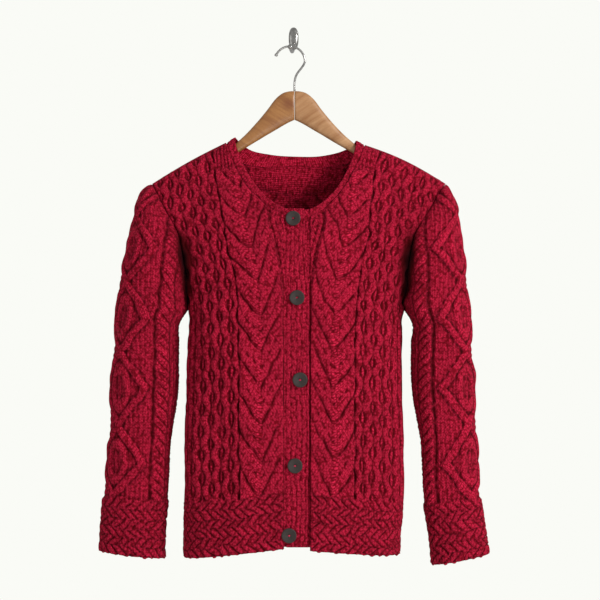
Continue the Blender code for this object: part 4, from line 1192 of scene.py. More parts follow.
        # clouds of the dye bath, about 26 mm wide
        batch = add_node(tree, "ShaderNodeTexNoise", {"Scale": 38.0, "Detail": 3.0},
                         {"Vector": drift})
        cloudy = add_node(tree, "ShaderNodeMapRange",
                          {"From Min": 0.3, "From Max": 0.7, "To Min": 0.86, "To Max": 1.08},
                          {"Value": batch.outputs[0]})
        varied = add_node(tree, "ShaderNodeHueSaturation", {"Saturation": 1.0},
                          {"Value": cloudy.outputs[0], "Color": yarn.outputs[2]})
        return varied.outputs["Color"]

    def build(self) -> bpy.types.Material:
        """Makes the material.

        Returns:
            The material; it reads the piece's stitch map and the painted shade of its creases and
            folds.
        """
        material, tree, shader = start_material(self.name)
        shader.inputs["Roughness"].default_value = self.rough
        shader.inputs["IOR"].default_value = 1.53
        shader.inputs["Specular IOR Level"].default_value = 0.08
        shader.inputs["Sheen Weight"].default_value = 0.05
        shader.inputs["Sheen Roughness"].default_value = 0.5
        shader.inputs["Sheen Tint"].default_value = linear_colour("E0506C")
        drift = add_node(tree, "ShaderNodeTexCoord").outputs["Object"]
        high = self.loops(tree, drift)
        yarn = self.yarn_colour(tree, drift, high)
        # painted shade: the creases darken towards one colour
        painted_shade = add_node(tree, "ShaderNodeAttribute", {"attribute_name": "painted_shade"})
        dark = add_node(tree, "ShaderNodeMix",
                        {"data_type": "RGBA", 7: linear_colour(self.painted_shade)},
                        {0: painted_shade.outputs["Fac"], 6: yarn})
        # painted shadow: values over 1 give the near-black colour of the fold
        folded = add_node(tree, "ShaderNodeMapRange",
                          {"From Min": 1.0, "From Max": 1.8, "To Min": 0.0, "To Max": 0.95},
                          {"Value": painted_shade.outputs["Fac"]})
        fold = add_node(tree, "ShaderNodeMix",
                        {"data_type": "RGBA", 7: linear_colour(self.fold)},
                        {0: folded.outputs[0], 6: dark.outputs[2]})
        bump = add_node(tree, "ShaderNodeBump", {"Strength": 0.9, "Distance": 0.0014},
                        {"Height": high})
        join_shader(tree, shader, {"Base Color": fold.outputs[2], "Normal": bump.outputs[0]})
        return material


@dataclass(frozen=True)
class Hardwood:
    """Planed and lacquered beech.

    It looks warm and satin, with fine streaks along the arm. Real streaks are
    under 1 mm wide and are drawn about 2.4 mm wide, so that they show.

    Args:
        name: what the real one is.
        light: colour between the streaks.
        dark: colour of the streaks.
        lean: slope of the grain, degrees.
        knot: place of a knot, millimetres, where there is one.
    """

    name: str
    light: str
    dark: str
    lean: float
    knot: tuple[float, float, float] | None = None

    def with_knot(self, tree: Tree, place: Socket,
                  broad: Socket,
                  colour: Socket) -> Socket:
        """Darkens the wood round the knot, about 16 to 36 mm wide.

        Args:
            tree: the material's node tree.
            place: object coordinates.
            broad: the broad figure of the wood.
            colour: colour of the wood.

        Returns:
            The socket that gives the colour with the knot.
        """
        middle = tuple(value * MM for value in self.knot)
        away = add_node(tree, "ShaderNodeVectorMath", {"operation": "DISTANCE", 1: middle},
                        {0: place})
        rough = add_node(tree, "ShaderNodeMath", {"operation": "MULTIPLY_ADD", 1: 0.012},
                         {0: broad, 2: away.outputs["Value"]})
        near = add_node(tree, "ShaderNodeMapRange",
                        {"From Min": 0.008, "From Max": 0.018, "To Min": 0.75, "To Max": 0.0},
                        {"Value": rough.outputs[0]})
        knotty = add_node(tree, "ShaderNodeMix", {"data_type": "RGBA", 7: linear_colour("7A4420")},
                          {0: near.outputs[0], 6: colour})
        return knotty.outputs[2]

    def build(self) -> bpy.types.Material:
        """Makes the material.

        Returns:
            The material, on object coordinates.
        """
        material, tree, shader = start_material(self.name)
        shader.inputs["IOR"].default_value = 1.5
        shader.inputs["Coat Weight"].default_value = 0.25
        shader.inputs["Coat Roughness"].default_value = 0.25
        place = add_node(tree, "ShaderNodeTexCoord").outputs["Object"]
        turned = add_node(tree, "ShaderNodeMapping",
                          {"vector_type": "TEXTURE", "Scale": (12.0, 1.0, 1.0),
                           "Rotation": (0.0, math.radians(self.lean), 0.0)}, {"Vector": place})
        streaks = add_node(tree, "ShaderNodeTexNoise",
                           {"Scale": 420.0, "Detail": 4.0, "Roughness": 0.6},
                           {"Vector": turned.outputs[0]})
        broad = add_node(tree, "ShaderNodeTexNoise",
                         {"Scale": 90.0, "Detail": 2.0, "Distortion": 0.6},
                         {"Vector": turned.outputs[0]})
        grain = add_node(tree, "ShaderNodeMath", {"operation": "MULTIPLY_ADD", 1: 0.45},
                         {0: streaks.outputs[0], 2: broad.outputs[0]})
        share = add_node(tree, "ShaderNodeMapRange", {"From Min": 0.45, "From Max": 1.0},
                         {"Value": grain.outputs[0]})
        wood = add_node(tree, "ShaderNodeMix",
                        {"data_type": "RGBA", 6: linear_colour(self.dark),
                         7: linear_colour(self.light)}, {0: share.outputs[0]})
        colour = wood.outputs[2]
        if self.knot is not None:
            colour = self.with_knot(tree, place, broad.outputs[0], colour)
        bump = add_node(tree, "ShaderNodeBump", {"Strength": 0.15, "Distance": 0.0002},
                        {"Height": streaks.outputs[0]})
        gloss = add_node(tree, "ShaderNodeMapRange", {"To Min": 0.36, "To Max": 0.5},
                         {"Value": streaks.outputs[0]})
        join_shader(tree, shader, {"Base Color": colour, "Roughness": gloss.outputs[0],
                                   "Normal": bump.outputs[0]})
        return material


@dataclass(frozen=True)
class BrightSteel:
    """Nickel-plated steel: mirror-like, with faint smears from handling.

    Args:
        name: what the real one is.
        tint: its bright colour.
        rough: roughness where it is clean.
    """

    name: str
    tint: str
    rough: float

    def build(self) -> bpy.types.Material:
        """Makes the material.

        Returns:
            The material, on object coordinates.
        """
        material, tree, shader = start_material(self.name)
        shader.inputs["Metallic"].default_value = 1.0
        place = add_node(tree, "ShaderNodeTexCoord").outputs["Object"]
        # smears about 5 mm wide
        smear = add_node(tree, "ShaderNodeTexNoise", {"Scale": 180.0, "Detail": 4.0},
                         {"Vector": place})
        gloss = add_node(tree, "ShaderNodeMapRange",
                         {"To Min": self.rough, "To Max": self.rough + 0.16},
                         {"Value": smear.outputs[0]})
        shade = add_node(tree, "ShaderNodeMix",
                         {"data_type": "RGBA", 6: linear_colour("6E6C68"),
                          7: linear_colour(self.tint)}, {0: smear.outputs[0]})
        join_shader(tree, shader, {"Base Color": shade.outputs[2], "Roughness": gloss.outputs[0]})
        return material


@dataclass(frozen=True)
class CoconutShell:
    """Turned and waxed coconut shell: dark, flecked, satin.

    Args:
        name: what the real one is.
        base: colour of the shell.
        fleck: colour of its fibres, cut across.
    """

    name: str
    base: str = "1F140F"
    fleck: str = "6A5746"

    def build(self) -> bpy.types.Material:
        """Makes the material.

        Returns:
            The material, on object coordinates.
        """
        material, tree, shader = start_material(self.name)
        shader.inputs["IOR"].default_value = 1.5
        place = add_node(tree, "ShaderNodeTexCoord").outputs["Object"]
        cloud = add_node(tree, "ShaderNodeTexNoise", {"Scale": 160.0, "Detail": 3.0},
                         {"Vector": place})
        # cut fibres, about 1 mm apart
        flecks = add_node(tree, "ShaderNodeTexVoronoi", {"Scale": 900.0}, {"Vector": place})
        spots = add_node(tree, "ShaderNodeMapRange",
                         {"From Min": 0.05, "From Max": 0.35, "To Min": 0.55, "To Max": 0.0},
                         {"Value": flecks.outputs["Distance"]})
        share = add_node(tree, "ShaderNodeMath", {"operation": "MULTIPLY"},
                         {0: spots.outputs[0], 1: cloud.outputs[0]})
        shade = add_node(tree, "ShaderNodeMix",
                         {"data_type": "RGBA", 6: linear_colour(self.base),
                          7: linear_colour(self.fleck)}, {0: share.outputs[0]})
        bump = add_node(tree, "ShaderNodeBump", {"Strength": 0.2, "Distance": 0.0002},
                        {"Height": cloud.outputs[0]})
        gloss = add_node(tree, "ShaderNodeMapRange", {"To Min": 0.42, "To Max": 0.62},
                         {"Value": cloud.outputs[0]})
        join_shader(tree, shader, {"Base Color": shade.outputs[2], "Roughness": gloss.outputs[0],
                                   "Normal": bump.outputs[0]})
        return material


@dataclass(frozen=True)
class Finishes:
    """The finished materials of the whole piece."""

    knit: bpy.types.Material
    purl: bpy.types.Material
    yarn: bpy.types.Material
    shell: bpy.types.Material
    wood_right: bpy.types.Material
    wood_left: bpy.types.Material
    wire: bpy.types.Material
    plate: bpy.types.Material


@dataclass
class KnitPiece:
    """A knitted piece: a thin shell on its cloth, with its cables raised.

    Args:
        name: the piece's name.
        node: the CAD node that it stands for.
        finishes: the materials of the whole piece.
        flat: width and length it was knitted to, metres; not used.
        area: flat area in square metres, where the cut isn't a rectangle; not used.
        rests_on: what carries it; not used.
        creases: its soft folds.
        closed: whether its side edges meet in a seam.
        reach: grid steps over which a crease counts for the painted shade.
        drift: how far its stitches wander from the plan.
        seed: which drift.
        held: how it is kept up; not used.
        pattern: its cables.
    """

    name: str
    node: str
    finishes: Finishes
    flat: tuple[float, float]
    area: float | None = None
    rests_on: list[str] = field(default_factory=list)
    creases: tuple[Crease, ...] = ()
    closed: bool = False
    reach: int = 3
    drift: float = 1.1
    seed: int = 5
    held: Held = Held.HUNG
    pattern: BodyPattern | SleevePattern | None = None

    def cloth(self) -> Cloth:
        """The plain surface of the piece."""
        raise NotImplementedError

    def relief(self, cloth: Cloth) -> tuple[Array, Array]:
        """Height and stitch place of the cables."""
        return self.pattern.relief(cloth.across, cloth.up)

    def centre(self, cloth: Cloth) -> Array:
        """The place that the outer face looks away from."""
        return np.array([0.0, 0.0, -450.0])

    def settle(self, points: Array) -> Array:
        """Keeps points of the shell on their own side of a seam."""
        return points

    def shadow(self, cloth: Cloth) -> Array:
        """Painted shadow of places that lie deep between folded layers of cloth."""
        return np.zeros_like(cloth.across)

    def build(self) -> bpy.types.Object:
        """Makes the shell, its stitch map and the painted shade of its creases and folds.

        Returns:
            The dressed object.
        """
        cloth = self.cloth()
        across = cloth.across + wander(cloth.across, cloth.up, self.drift, self.seed)
        up = cloth.up + wander(cloth.across, cloth.up, 1.6 * self.drift, self.seed + 1)
        height, place = self.relief(Cloth(cloth.points, across, up, cloth.edge))
        height = height * (1.0 + wander(cloth.across, cloth.up, 0.12, self.seed + 2))
        normals = outward(cloth.points, self.centre(cloth))
        lift = height * cloth.edge
        fold = sum((crease.lift(cloth.across, cloth.up) for crease in self.creases),
                   np.zeros_like(lift))
        raised = cloth.points + normals * (lift + fold * cloth.edge)[..., None]
        raised = self.settle(raised)
        raised = (raised + np.array([AXIS_X, HANG_Y, 0.0])) * MM
        work, index = grid_mesh(raised, False)
        loops = work.loops.layers.uv.new("stitches")
        painted_shade = work.verts.layers.float.new("painted_shade")
        # painted shade of the creases and painted shadow of the armhole fold, kept on the vertices
        deep = np.maximum(crease_shade_share(height * cloth.edge, self.reach), self.shadow(cloth))
        columns = place[index[:, 0], index[:, 1]]
        courses = cloth.up[index[:, 0], index[:, 1]]
        shade = deep[index[:, 0], index[:, 1]]
        work.verts.index_update()
        for vert in work.verts:
            vert[painted_shade] = shade[vert.index]
        for face in work.faces:
            for loop in face.loops:
                number = loop.vert.index
                loop[loops].uv = (columns[number], courses[number])
        wanted = normals[index[:, 0], index[:, 1]]
        work.faces.ensure_lookup_table()
        work.normal_update()
        sample = list(work.faces)[::max(1, len(work.faces) // 200)]
        if sum(face.normal.dot(wanted[face.verts[0].index]) for face in sample) < 0.0:
            bmesh.ops.reverse_faces(work, faces=work.faces)
        if self.closed:
            bmesh.ops.remove_doubles(work, verts=work.verts, dist=1e-6)
        piece = finish_object(self.name, work, [self.finishes.knit, self.finishes.purl])
        wall = piece.modifiers.new("wall", "SOLIDIFY")
        wall.thickness = WALL * MM
        wall.offset = -1.0
        wall.material_offset = 1
        wall.material_offset_rim = 0
        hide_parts(self.node)
        return piece


@dataclass
class Front(KnitPiece):
    """One front: pointed panel beside the band, honeycomb out to the side.

    Args:
        side: the wearer's side.
        step: spacing of its grid.
        pattern: its cables.
    """

    side: Side = Side.RIGHT
    step: float = 1.75
    pattern: BodyPattern = BodyPattern(gusset=7.75)

    def line(self, r: float) -> Array:
        """Row of the front from the band or neck to its outer edge.

        Args:
            r: row position.

        Returns:
            The points of the row.
        """
        inner = smooth(FRONT_INNER[self.side.value], r)[0]
        if 1.234 < r < NECK_CORNER:
            inner = straight(FRONT_INNER[self.side.value], r)[0]
        power, sweep = straight(FRONT_BOW, r)[0]
        outer = outer_edge(self.side, r, False)
        line = bow(inner, outer, power, sweep)
        if r > 1.0:
            share = (line[:, 0] - inner[0]) / (outer[0] - inner[0])
            line[:, 2] += shoulder_rise(self.side, share) * (r - 1.0) ** 2
        return line

    def cloth(self) -> Cloth:
        """The plain surface of the front.

        Returns:
            The surface, row by row.
        """
        rows, up = knit_rows(BODY_LOW, FRONT_HIGH, self.step, 2.0)
        lines = [self.line(r) for r in rows]
        totals = np.array([length_of(line)[-1] for line in lines])
        count = int(totals.max() / self.step)
        shares = np.linspace(0.0, 1.0, count)
        points = []
        for line, total in zip(lines, totals):
            points.append(walk(line, shares * (1.0 - SEAM / total)))
        across = straight(LEAN, rows)[:, :1] + shares * totals[:, None]
        r_all = np.repeat(rows[:, None], count, axis=1)
        edge = body_fade(r_all, shares * totals[:, None], (1.0 - shares) * totals[:, None])
        return Cloth(np.array(points), across, np.repeat(up[:, None], count, axis=1), edge)

    def shadow(self, cloth: Cloth) -> Array:
        """Painted shadow of the fold beside the armhole."""
        off = np.linalg.norm(cloth.points - cloth.points[:, -1:], axis=2)
        return armhole_shadow(off, cloth.up - BODY_LOW, FRONT_HIGH)

    def settle(self, points: Array) -> Array:
        """Keeps the front before the shoulder seam."""
        points[..., 1] = np.minimum(points[..., 1], -SEAM)
        return points


@dataclass
class Back(KnitPiece):
    """The back in one piece: honeycomb at both sides, two pointed panels.

    Args:
        step: spacing of its grid.
        half_width: longest row of one half, by which the columns are counted.
        pattern: its cables.
    """

    step: float = 2.5
    half_width: float = 215.0
    pattern: BodyPattern = BodyPattern(gusset=16.0)

    def line(self, side: Side, r: float) -> Array:
        """Row of one half of the back from its centre to the outer edge.

        Args:
            side: which half.
            r: row position.

        Returns:
            The points of the row.
        """
        y, z = smooth(BACK_CENTRE_LINE, r)[0]
        power, sweep = straight(FRONT_BOW, r)[0]
        line = bow(np.array([0.0, y, z]), outer_edge(side, r, True), power, sweep)
        if r > 1.0:
            share = np.abs(line[:, 0]) / abs(line[-1, 0])
            warped = np.interp(share, (0.0, NECK_SHARE[side.value], 1.0), (0.0, BACK_NECK, 1.0))
            top = straight(BACK_TOP, warped)
            rise = top[:, 0] + shoulder_rise(side, (warped - BACK_NECK) / (1.0 - BACK_NECK))
            near_neck = np.interp(warped, (0.36, BACK_NECK, 1.0), (0.0, 1.0, 0.0))
            rise += NECK_RISE[side.value] * near_neck
            line[:, 2] += rise * (r - 1.0) ** 2
            blend = (r - 1.0) ** 8 * (1.0 - share ** 6)
            line[:, 1] = line[:, 1] * (1.0 - blend) + top[:, 1] * blend
        return line

    def neck_line(self, side: Side) -> Array:
        """Top edge of one half, from its centre to the neck point.

        Args:
            side: which half.

        Returns:
            The points of the edge.
        """
        line = self.line(side, 2.0)
        share = np.abs(line[:, 0]) / abs(line[-1, 0])
        return line[share <= NECK_SHARE[side.value] + 1e-6]

    def cloth(self) -> Cloth:
        """The plain surface of the back.

        Returns:
            The surface, row by row.
        """
        rows, up = knit_rows(BODY_LOW, FRONT_HIGH, self.step, 2.0)
        count = int(self.half_width / self.step)
        shares = np.linspace(0.0, 1.0, count)
        points = []
        across = []
        edge = []
        for r in rows:
            halves = []
            places = []
            fades = []
            for side in (Side.RIGHT, Side.LEFT):
                line = self.line(side, r)
                total = length_of(line)[-1]
                halves.append(walk(line, shares * (1.0 - SEAM / total)))
                places.append(shares * total - BACK_CENTRE)
                fades.append(body_fade(np.full(count, r), np.full(count, 9.0),
                                       (1.0 - shares) * total))
            points.append(np.concatenate([halves[0][::-1], halves[1][1:]]))
            across.append(np.concatenate([places[0][::-1], places[1][1:]]))
            edge.append(np.concatenate([fades[0][::-1], fades[1][1:]]))
        up = np.repeat(up[:, None], 2 * count - 1, axis=1)
        return Cloth(np.array(points), np.array(across), up, np.array(edge))

    def settle(self, points: Array) -> Array:
        """Keeps the back behind the shoulder seam.

        Args:
            points: the points of the shell.

        Returns:
            The same points, moved.
        """
        top = points[-6:]
        top[..., 1] = np.maximum(top[..., 1], SEAM)
        return points


@dataclass
class Sleeve(KnitPiece):
    """One sleeve: closed to the underarm, then open along the armhole.

    Args:
        side: the wearer's side.
        step: spacing of its grid.
        top: row position of its last row, just short of the shoulder.
        inner_bow: how square the arm is on the body's side.
        outer_bow: how square it is on the outer side.
        pattern: its cables.
    """

    side: Side = Side.RIGHT
    step: float = 2.1
    top: float = 1.988
    inner_bow: float = 2.3
    outer_bow: float = 2.2
    pattern: SleevePattern = SleevePattern()

    def line(self, r: float) -> tuple[Array, float]:
        """Row from the front seam round the arm to the back seam.

        Args:
            r: row position.

        Returns:
            The points of the row, and the length up to its middle.
        """
        values = smooth(SLEEVE, r)[0]
        right = self.side is Side.RIGHT
        out_x = values[0] if right else values[1]
        in_x = values[2] if right else values[3]
        out_z, in_z, front_y, back_y = values[4:8]
        if not right:
            drop = max(1.0 - r / CUFF_REACH, 0.0)
            out_z -= LEFT_CUFF_DROP[0] * drop
            in_z -= LEFT_CUFF_DROP[1] * drop
        outer = np.array([out_x, 0.5 * (front_y + back_y), out_z])
        start = np.array([in_x, SIDE_Y, in_z])
        end = start
        sweep = 90.0
        if r >= 1.0:
            start = armhole(self.side, r, False)
            end = armhole(self.side, r, True)
            sweep = float(np.interp(r, (1.0, 1.2, 2.0), (84.0, 62.0, 60.0)))
        middle = 0.5 * (in_x + out_x)
        front = np.array([middle, front_y, 0.5 * (start[2] + out_z)])
        rear = np.array([middle, back_y, 0.5 * (end[2] + out_z)])
        parts = [bow(front, start, self.inner_bow, sweep)[::-1],
                 bow(front, outer, self.outer_bow, 90.0)[1:],
                 bow(rear, outer, self.outer_bow, 90.0)[::-1][1:],
                 bow(rear, end, self.inner_bow, sweep)[1:]]
        lengths = [length_of(part)[-1] for part in parts]
        return np.concatenate(parts), lengths[0] + 0.5 * lengths[1]

    def cloth(self) -> Cloth:
        """The plain surface of the sleeve.

        Returns:
            The surface, row by row.
        """
        rows, up = knit_rows(SLEEVE_LOW, SLEEVE_HIGH, self.step, self.top)
        lines = [self.line(r) for r in rows]
        totals = np.array([length_of(line)[-1] for line, _ in lines])
        middles = np.array([centre for _, centre in lines])
        count = int(totals.max() / self.step)
        shares = np.linspace(0.0, 1.0, count)
        points = []
        for r, (line, _), total in zip(rows, lines, totals):
            trim = 0.0 if r < 1.0 else SEAM / total
            points.append(walk(line, trim + shares * (1.0 - 2.0 * trim)))
        across = shares * totals[:, None] - middles[:, None]
        near = np.minimum(shares, 1.0 - shares) * totals[:, None]
        reach = 3.0 + np.clip((rows - 0.85) / 0.1, 0.0, 1.0) * 6.0
        reach = reach + 20.0 * np.exp(-((rows - 1.0) / 0.07) ** 2)
        edge = np.sin(0.5 * np.pi * np.clip(near / reach[:, None], 0.0, 1.0))
        return Cloth(np.array(points), across, np.repeat(up[:, None], count, axis=1), edge)

    def shadow(self, cloth: Cloth) -> Array:
        """Painted shadow of the folds beside the armhole, at the front and at the back.

        Args:
            cloth: the plain surface.

        Returns:
            How dark the painted shadow is at each place, by how deep it lies.
        """
        off = np.minimum(np.linalg.norm(cloth.points - cloth.points[:, :1], axis=2),
                         np.linalg.norm(cloth.points - cloth.points[:, -1:], axis=2))
        return armhole_shadow(off, cloth.up - SLEEVE_LOW, SLEEVE_HIGH)

    def centre(self, cloth: Cloth) -> Array:
        """The middle of each row."""
        return np.mean(cloth.points, axis=1, keepdims=True)


@dataclass
class NeckBand(KnitPiece):
    """Narrow band along the neck seam, from one front corner to the other.

    Args:
        back: the back that it is sewn to.
        rows: rows of its grid from seam to free edge.
        tuck: how far it is tucked under the seam.
    """

    back: Back | None = None
    rows: int = 9
    tuck: float = 0.9

    def seam_line(self) -> tuple[Array, Array]:
        """Neck seam from the right front to the left.

        Returns:
            Place and point of each of its stitches.
        """
        rows = np.linspace(NECK_CORNER, 1.992, 70)
        right = smooth(FRONT_INNER["right"], rows)
        left = smooth(FRONT_INNER["left"], rows)[::-1]
        halves = [self.back.neck_line(Side.RIGHT)[::-1], self.back.neck_line(Side.LEFT)]
        lines = [right, walk(halves[0], np.linspace(0.02, 1.0, 60)),
                 walk(halves[1], np.linspace(0.0, 0.98, 60))[1:], left]
        places = [rows - 3.0, np.linspace(-0.98, 0.0, 60), np.linspace(0.0, 0.98, 60)[1:],
                  (3.0 - rows)[::-1]]
        return np.concatenate(places), np.concatenate(lines)

    def free_edge(self, place: float) -> Array:
        """Point of the free edge.

        Args:
            place: place of the neck seam.

        Returns:
            The point.
        """
        if abs(place) <= 1.0:
            return smooth(NECK_FREE_BACK, place)[0]
        side = "right" if place < 0.0 else "left"
        share = 1.0 - (abs(place) - 1.0) / (2.0 - NECK_CORNER)
        return smooth(NECK_FREE[side], max(share, 0.0))[0]

    def cloth(self) -> Cloth:
        """The plain surface of the band.

        Returns:
            The surface, row by row.
        """
        places, seam = self.seam_line()
        free = np.array([self.free_edge(place) for place in places])
        for _ in range(4):
            seam[1:-1] = 0.25 * seam[:-2] + 0.5 * seam[1:-1] + 0.25 * seam[2:]
        toward = unit(free - seam)
        start = seam - toward * self.tuck
        shares = np.linspace(0.0, 1.0, self.rows)
        points = start[None] + (free - start)[None] * shares[:, None, None]
        width = np.linalg.norm(free - start, axis=1)
        run = length_of(start)
        across = shares[:, None] * width[None]
        up = np.repeat(run[None], self.rows, axis=0)
        edge = np.sin(np.pi * np.clip(shares, 0.02, 0.98))[:, None] * np.ones_like(across)
        return Cloth(points, across, up, np.clip(edge * 1.6, 0.0, 1.0))

    def relief(self, cloth: Cloth) -> tuple[Array, Array]:
        """Height and stitch place of the band's fine ribs."""
        return 1.3 + 0.35 * np.cos(2.0 * np.pi * cloth.across / 5.0), cloth.across

    def centre(self, cloth: Cloth) -> Array:
        """A place inside the neck, below the band."""
        return np.array([0.0, -10.0, -420.0])


@dataclass
class FrontBand(KnitPiece):
    """A ribbed front band that hangs straight from the neck to the hem.

    Args:
        side: the wearer's side.
        sewn: x of its sewn edge, tucked just under the front.
        free: level and x of its free edge.
        span: levels of its lower and upper end.
        height: how far its ribs stand out.
        ribs: how many.
    """

    side: Side = Side.RIGHT
    sewn: float = -18.7
    free: tuple = BAND_FREE
    span: tuple[float, float] = (-764.0, -270.5)
    height: float = 1.8
    ribs: int = 5

    def cloth(self) -> Cloth:
        """The plain surface of the band.

        Returns:
            The surface, row by row.
        """
        turn = -67.0 if self.side is Side.RIGHT else -63.5
        path = sorted([(row[3], row[2]) for row in FRONT_INNER[self.side.value][:5]]
                      + [(-265.0, turn)])
        levels = np.linspace(self.span[0], self.span[1], 236)
        depth = smooth(tuple(path), levels)[:, 0]
        ends = straight(self.free, levels)[:, 0] + 0.5 * np.sin(levels / 17.0)
        shares = np.linspace(0.0, 1.0, 37)
        points = np.empty((len(levels), len(shares), 3))
        points[..., 0] = self.sewn + (ends[:, None] - self.sewn) * shares
        points[..., 1] = depth[:, None]
        points[..., 2] = levels[:, None]
        across = np.abs(points[..., 0] - self.sewn)
        up = np.repeat((levels - self.span[0])[:, None], len(shares), axis=1)
        edge = np.clip(0.4 + np.minimum(shares, 1.0 - shares) * 20.0, 0.0, 1.0)
        edge = edge[None] * np.ones_like(across)
        return Cloth(points, across, up, edge)

    def relief(self, cloth: Cloth) -> tuple[Array, Array]:
        """Raises the ribs.

        Args:
            cloth: the plain surface.

        Returns:
            Height, and the place across the stitch columns.
        """
        share = cloth.across / cloth.across.max(axis=1, keepdims=True)
        wave = np.abs(np.cos(np.pi * self.ribs * share)) ** 0.8
        dash = np.sin(2.0 * np.pi * (cloth.up / 9.5 + 0.5 * np.rint(self.ribs * share)))
        come = np.sin(2.0 * np.pi * cloth.up / 14.0 + 2.0 * share * self.ribs)
        pit = notch(wave, 0.45) * np.clip(come, 0.0, 1.0)
        return self.height * wave * (0.72 + 0.28 * dash) + 0.1 - 0.9 * pit, cloth.across


def face_front(tilt: float = 0.0) -> Matrix:
    """Turns a face that looks up to the front, leaning back by a small angle."""
    return Matrix.Rotation(math.radians(90.0) - tilt, 4, "X")


@dataclass
class Buttons:
    """Five shell buttons, each sewn on with wool through two holes.

    Args:
        finishes: the materials of the whole piece.
        count: how many.
        radius: of a button.
        well: radius of the dish in its face.
        sides: edges of its round.
        hole: radius of a hole.
        hole_off: distance of a hole from the middle.
        hole_deep: depth of a hole.
        wool: radius of the sewing wool.
        tilt: how far the top button leans back, radians.
    """

    finishes: Finishes
    count: int = 5
    radius: float = 11.0
    well: float = 3.6
    sides: int = 48
    hole: float = 0.85
    hole_off: float = 1.1
    hole_deep: float = 1.4
    wool: float = 0.5
    tilt: float = 0.09

    def profile(self) -> tuple[tuple[float, float], ...]:
        """Radius and level of each ring from the dish over the rim to the back."""
        return ((4.4, 0.25), (8.4, 0.45), (9.6, 0.75), (10.4, 0.7), (10.85, 0.35),
                (self.radius, -0.3), (self.radius, -1.2), (10.4, -2.0), (9.0, -2.3))

    def place(self, work: Work, centre: Array, tilt: float) -> None:
        """Turns a mesh to the front and moves it to its button's place.

        Args:
            work: the mesh, made facing up.
            centre: the button's place.
            tilt: how far it leans back.
        """
        bmesh.ops.transform(work, matrix=face_front(tilt), verts=work.verts)
        bmesh.ops.translate(work, verts=work.verts, vec=tuple(centre))

    def disc(self, centre: Array, tilt: float) -> Work:
        """One button: dished face with two blind holes, rounded rim, flat back.

        Args:
            centre: its place.
            tilt: how far it leans back.

        Returns:
            The mesh.
        """
        work = bmesh.new()
        dish = bmesh.ops.create_circle(work, cap_ends=False, segments=self.sides,
                                       radius=self.well * MM)
        for off in (-self.hole_off, self.hole_off):
            ring = bmesh.ops.create_circle(work, cap_ends=False, segments=12,
                                           radius=self.hole * MM)
            bmesh.ops.translate(work, verts=ring["verts"], vec=(off * MM, 0.0, 0.0))
        outer = [edge for edge in work.edges if edge.verts[0] in set(dish["verts"])]
        inner = [edge for edge in work.edges if edge not in set(outer)]
        bmesh.ops.triangle_fill(work, use_beauty=True, edges=list(work.edges))
        sunk = bmesh.ops.extrude_edge_only(work, edges=inner)
        low = [item for item in sunk["geom"] if isinstance(item, bmesh.types.BMVert)]
        bmesh.ops.translate(work, verts=low, vec=(0.0, 0.0, -self.hole_deep * MM))
        floor = [item for item in sunk["geom"] if isinstance(item, bmesh.types.BMEdge)]
        bmesh.ops.holes_fill(work, edges=floor, sides=12)
        rim = outer
        radius = self.well
        for reach, level in self.profile():
            grown = bmesh.ops.extrude_edge_only(work, edges=rim)
            verts = [item for item in grown["geom"] if isinstance(item, bmesh.types.BMVert)]
            rim = [item for item in grown["geom"] if isinstance(item, bmesh.types.BMEdge)]
            scale = reach / radius
            bmesh.ops.scale(work, verts=verts, vec=(scale, scale, 1.0))
            for vert in verts:
                vert.co.z = level * MM
            radius = reach
        bmesh.ops.holes_fill(work, edges=rim, sides=self.sides)
        bmesh.ops.recalc_face_normals(work, faces=work.faces)
        self.place(work, centre, tilt)
        return work

    def thread(self, centre: Array, tilt: float) -> Work:
        """Two turns of sewing wool that bridge the holes of a button.

        Args:
            centre: the button's place.
            tilt: how far it leans back.

        Returns:
            The mesh.
        """
        work = bmesh.new()
        angle = np.linspace(0.0, np.pi, 12)
        for off in (-self.wool, self.wool):
            path = np.stack([self.hole_off * np.cos(angle), off + 0.15 * np.sin(2.0 * angle),
                             -0.5 + 1.05 * np.sin(angle)], axis=1)
            part = round_bar(tube_rings(path, np.full(12, self.wool), 8))
            mesh = bpy.data.meshes.new("thread_part")
            part.to_mesh(mesh)
            part.free()
            work.from_mesh(mesh)
            bpy.data.meshes.remove(mesh)
        self.place(work, centre, tilt)
        return work

    def build(self) -> None:
        """Makes every button and its sewing wool."""
        for number in range(1, self.count + 1):
            node = "button_%d" % number
            low, high = (np.array(corner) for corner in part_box(node))
            centre = 0.5 * (low + high)
            tilt = 0.0
            if number == 1:
                tilt = self.tilt
                centre[1] = 0.5 * (low[1] + high[1]) - 0.8 * MM
            else:
                centre[1] = low[1] + 0.75 * MM
            shell = finish_object("button_disc_%d" % number, self.disc(centre, tilt),
                                  [self.finishes.shell])
            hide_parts(node)
            finish_object("button_wool_%d" % number, self.thread(centre, tilt),
                          [self.finishes.yarn])


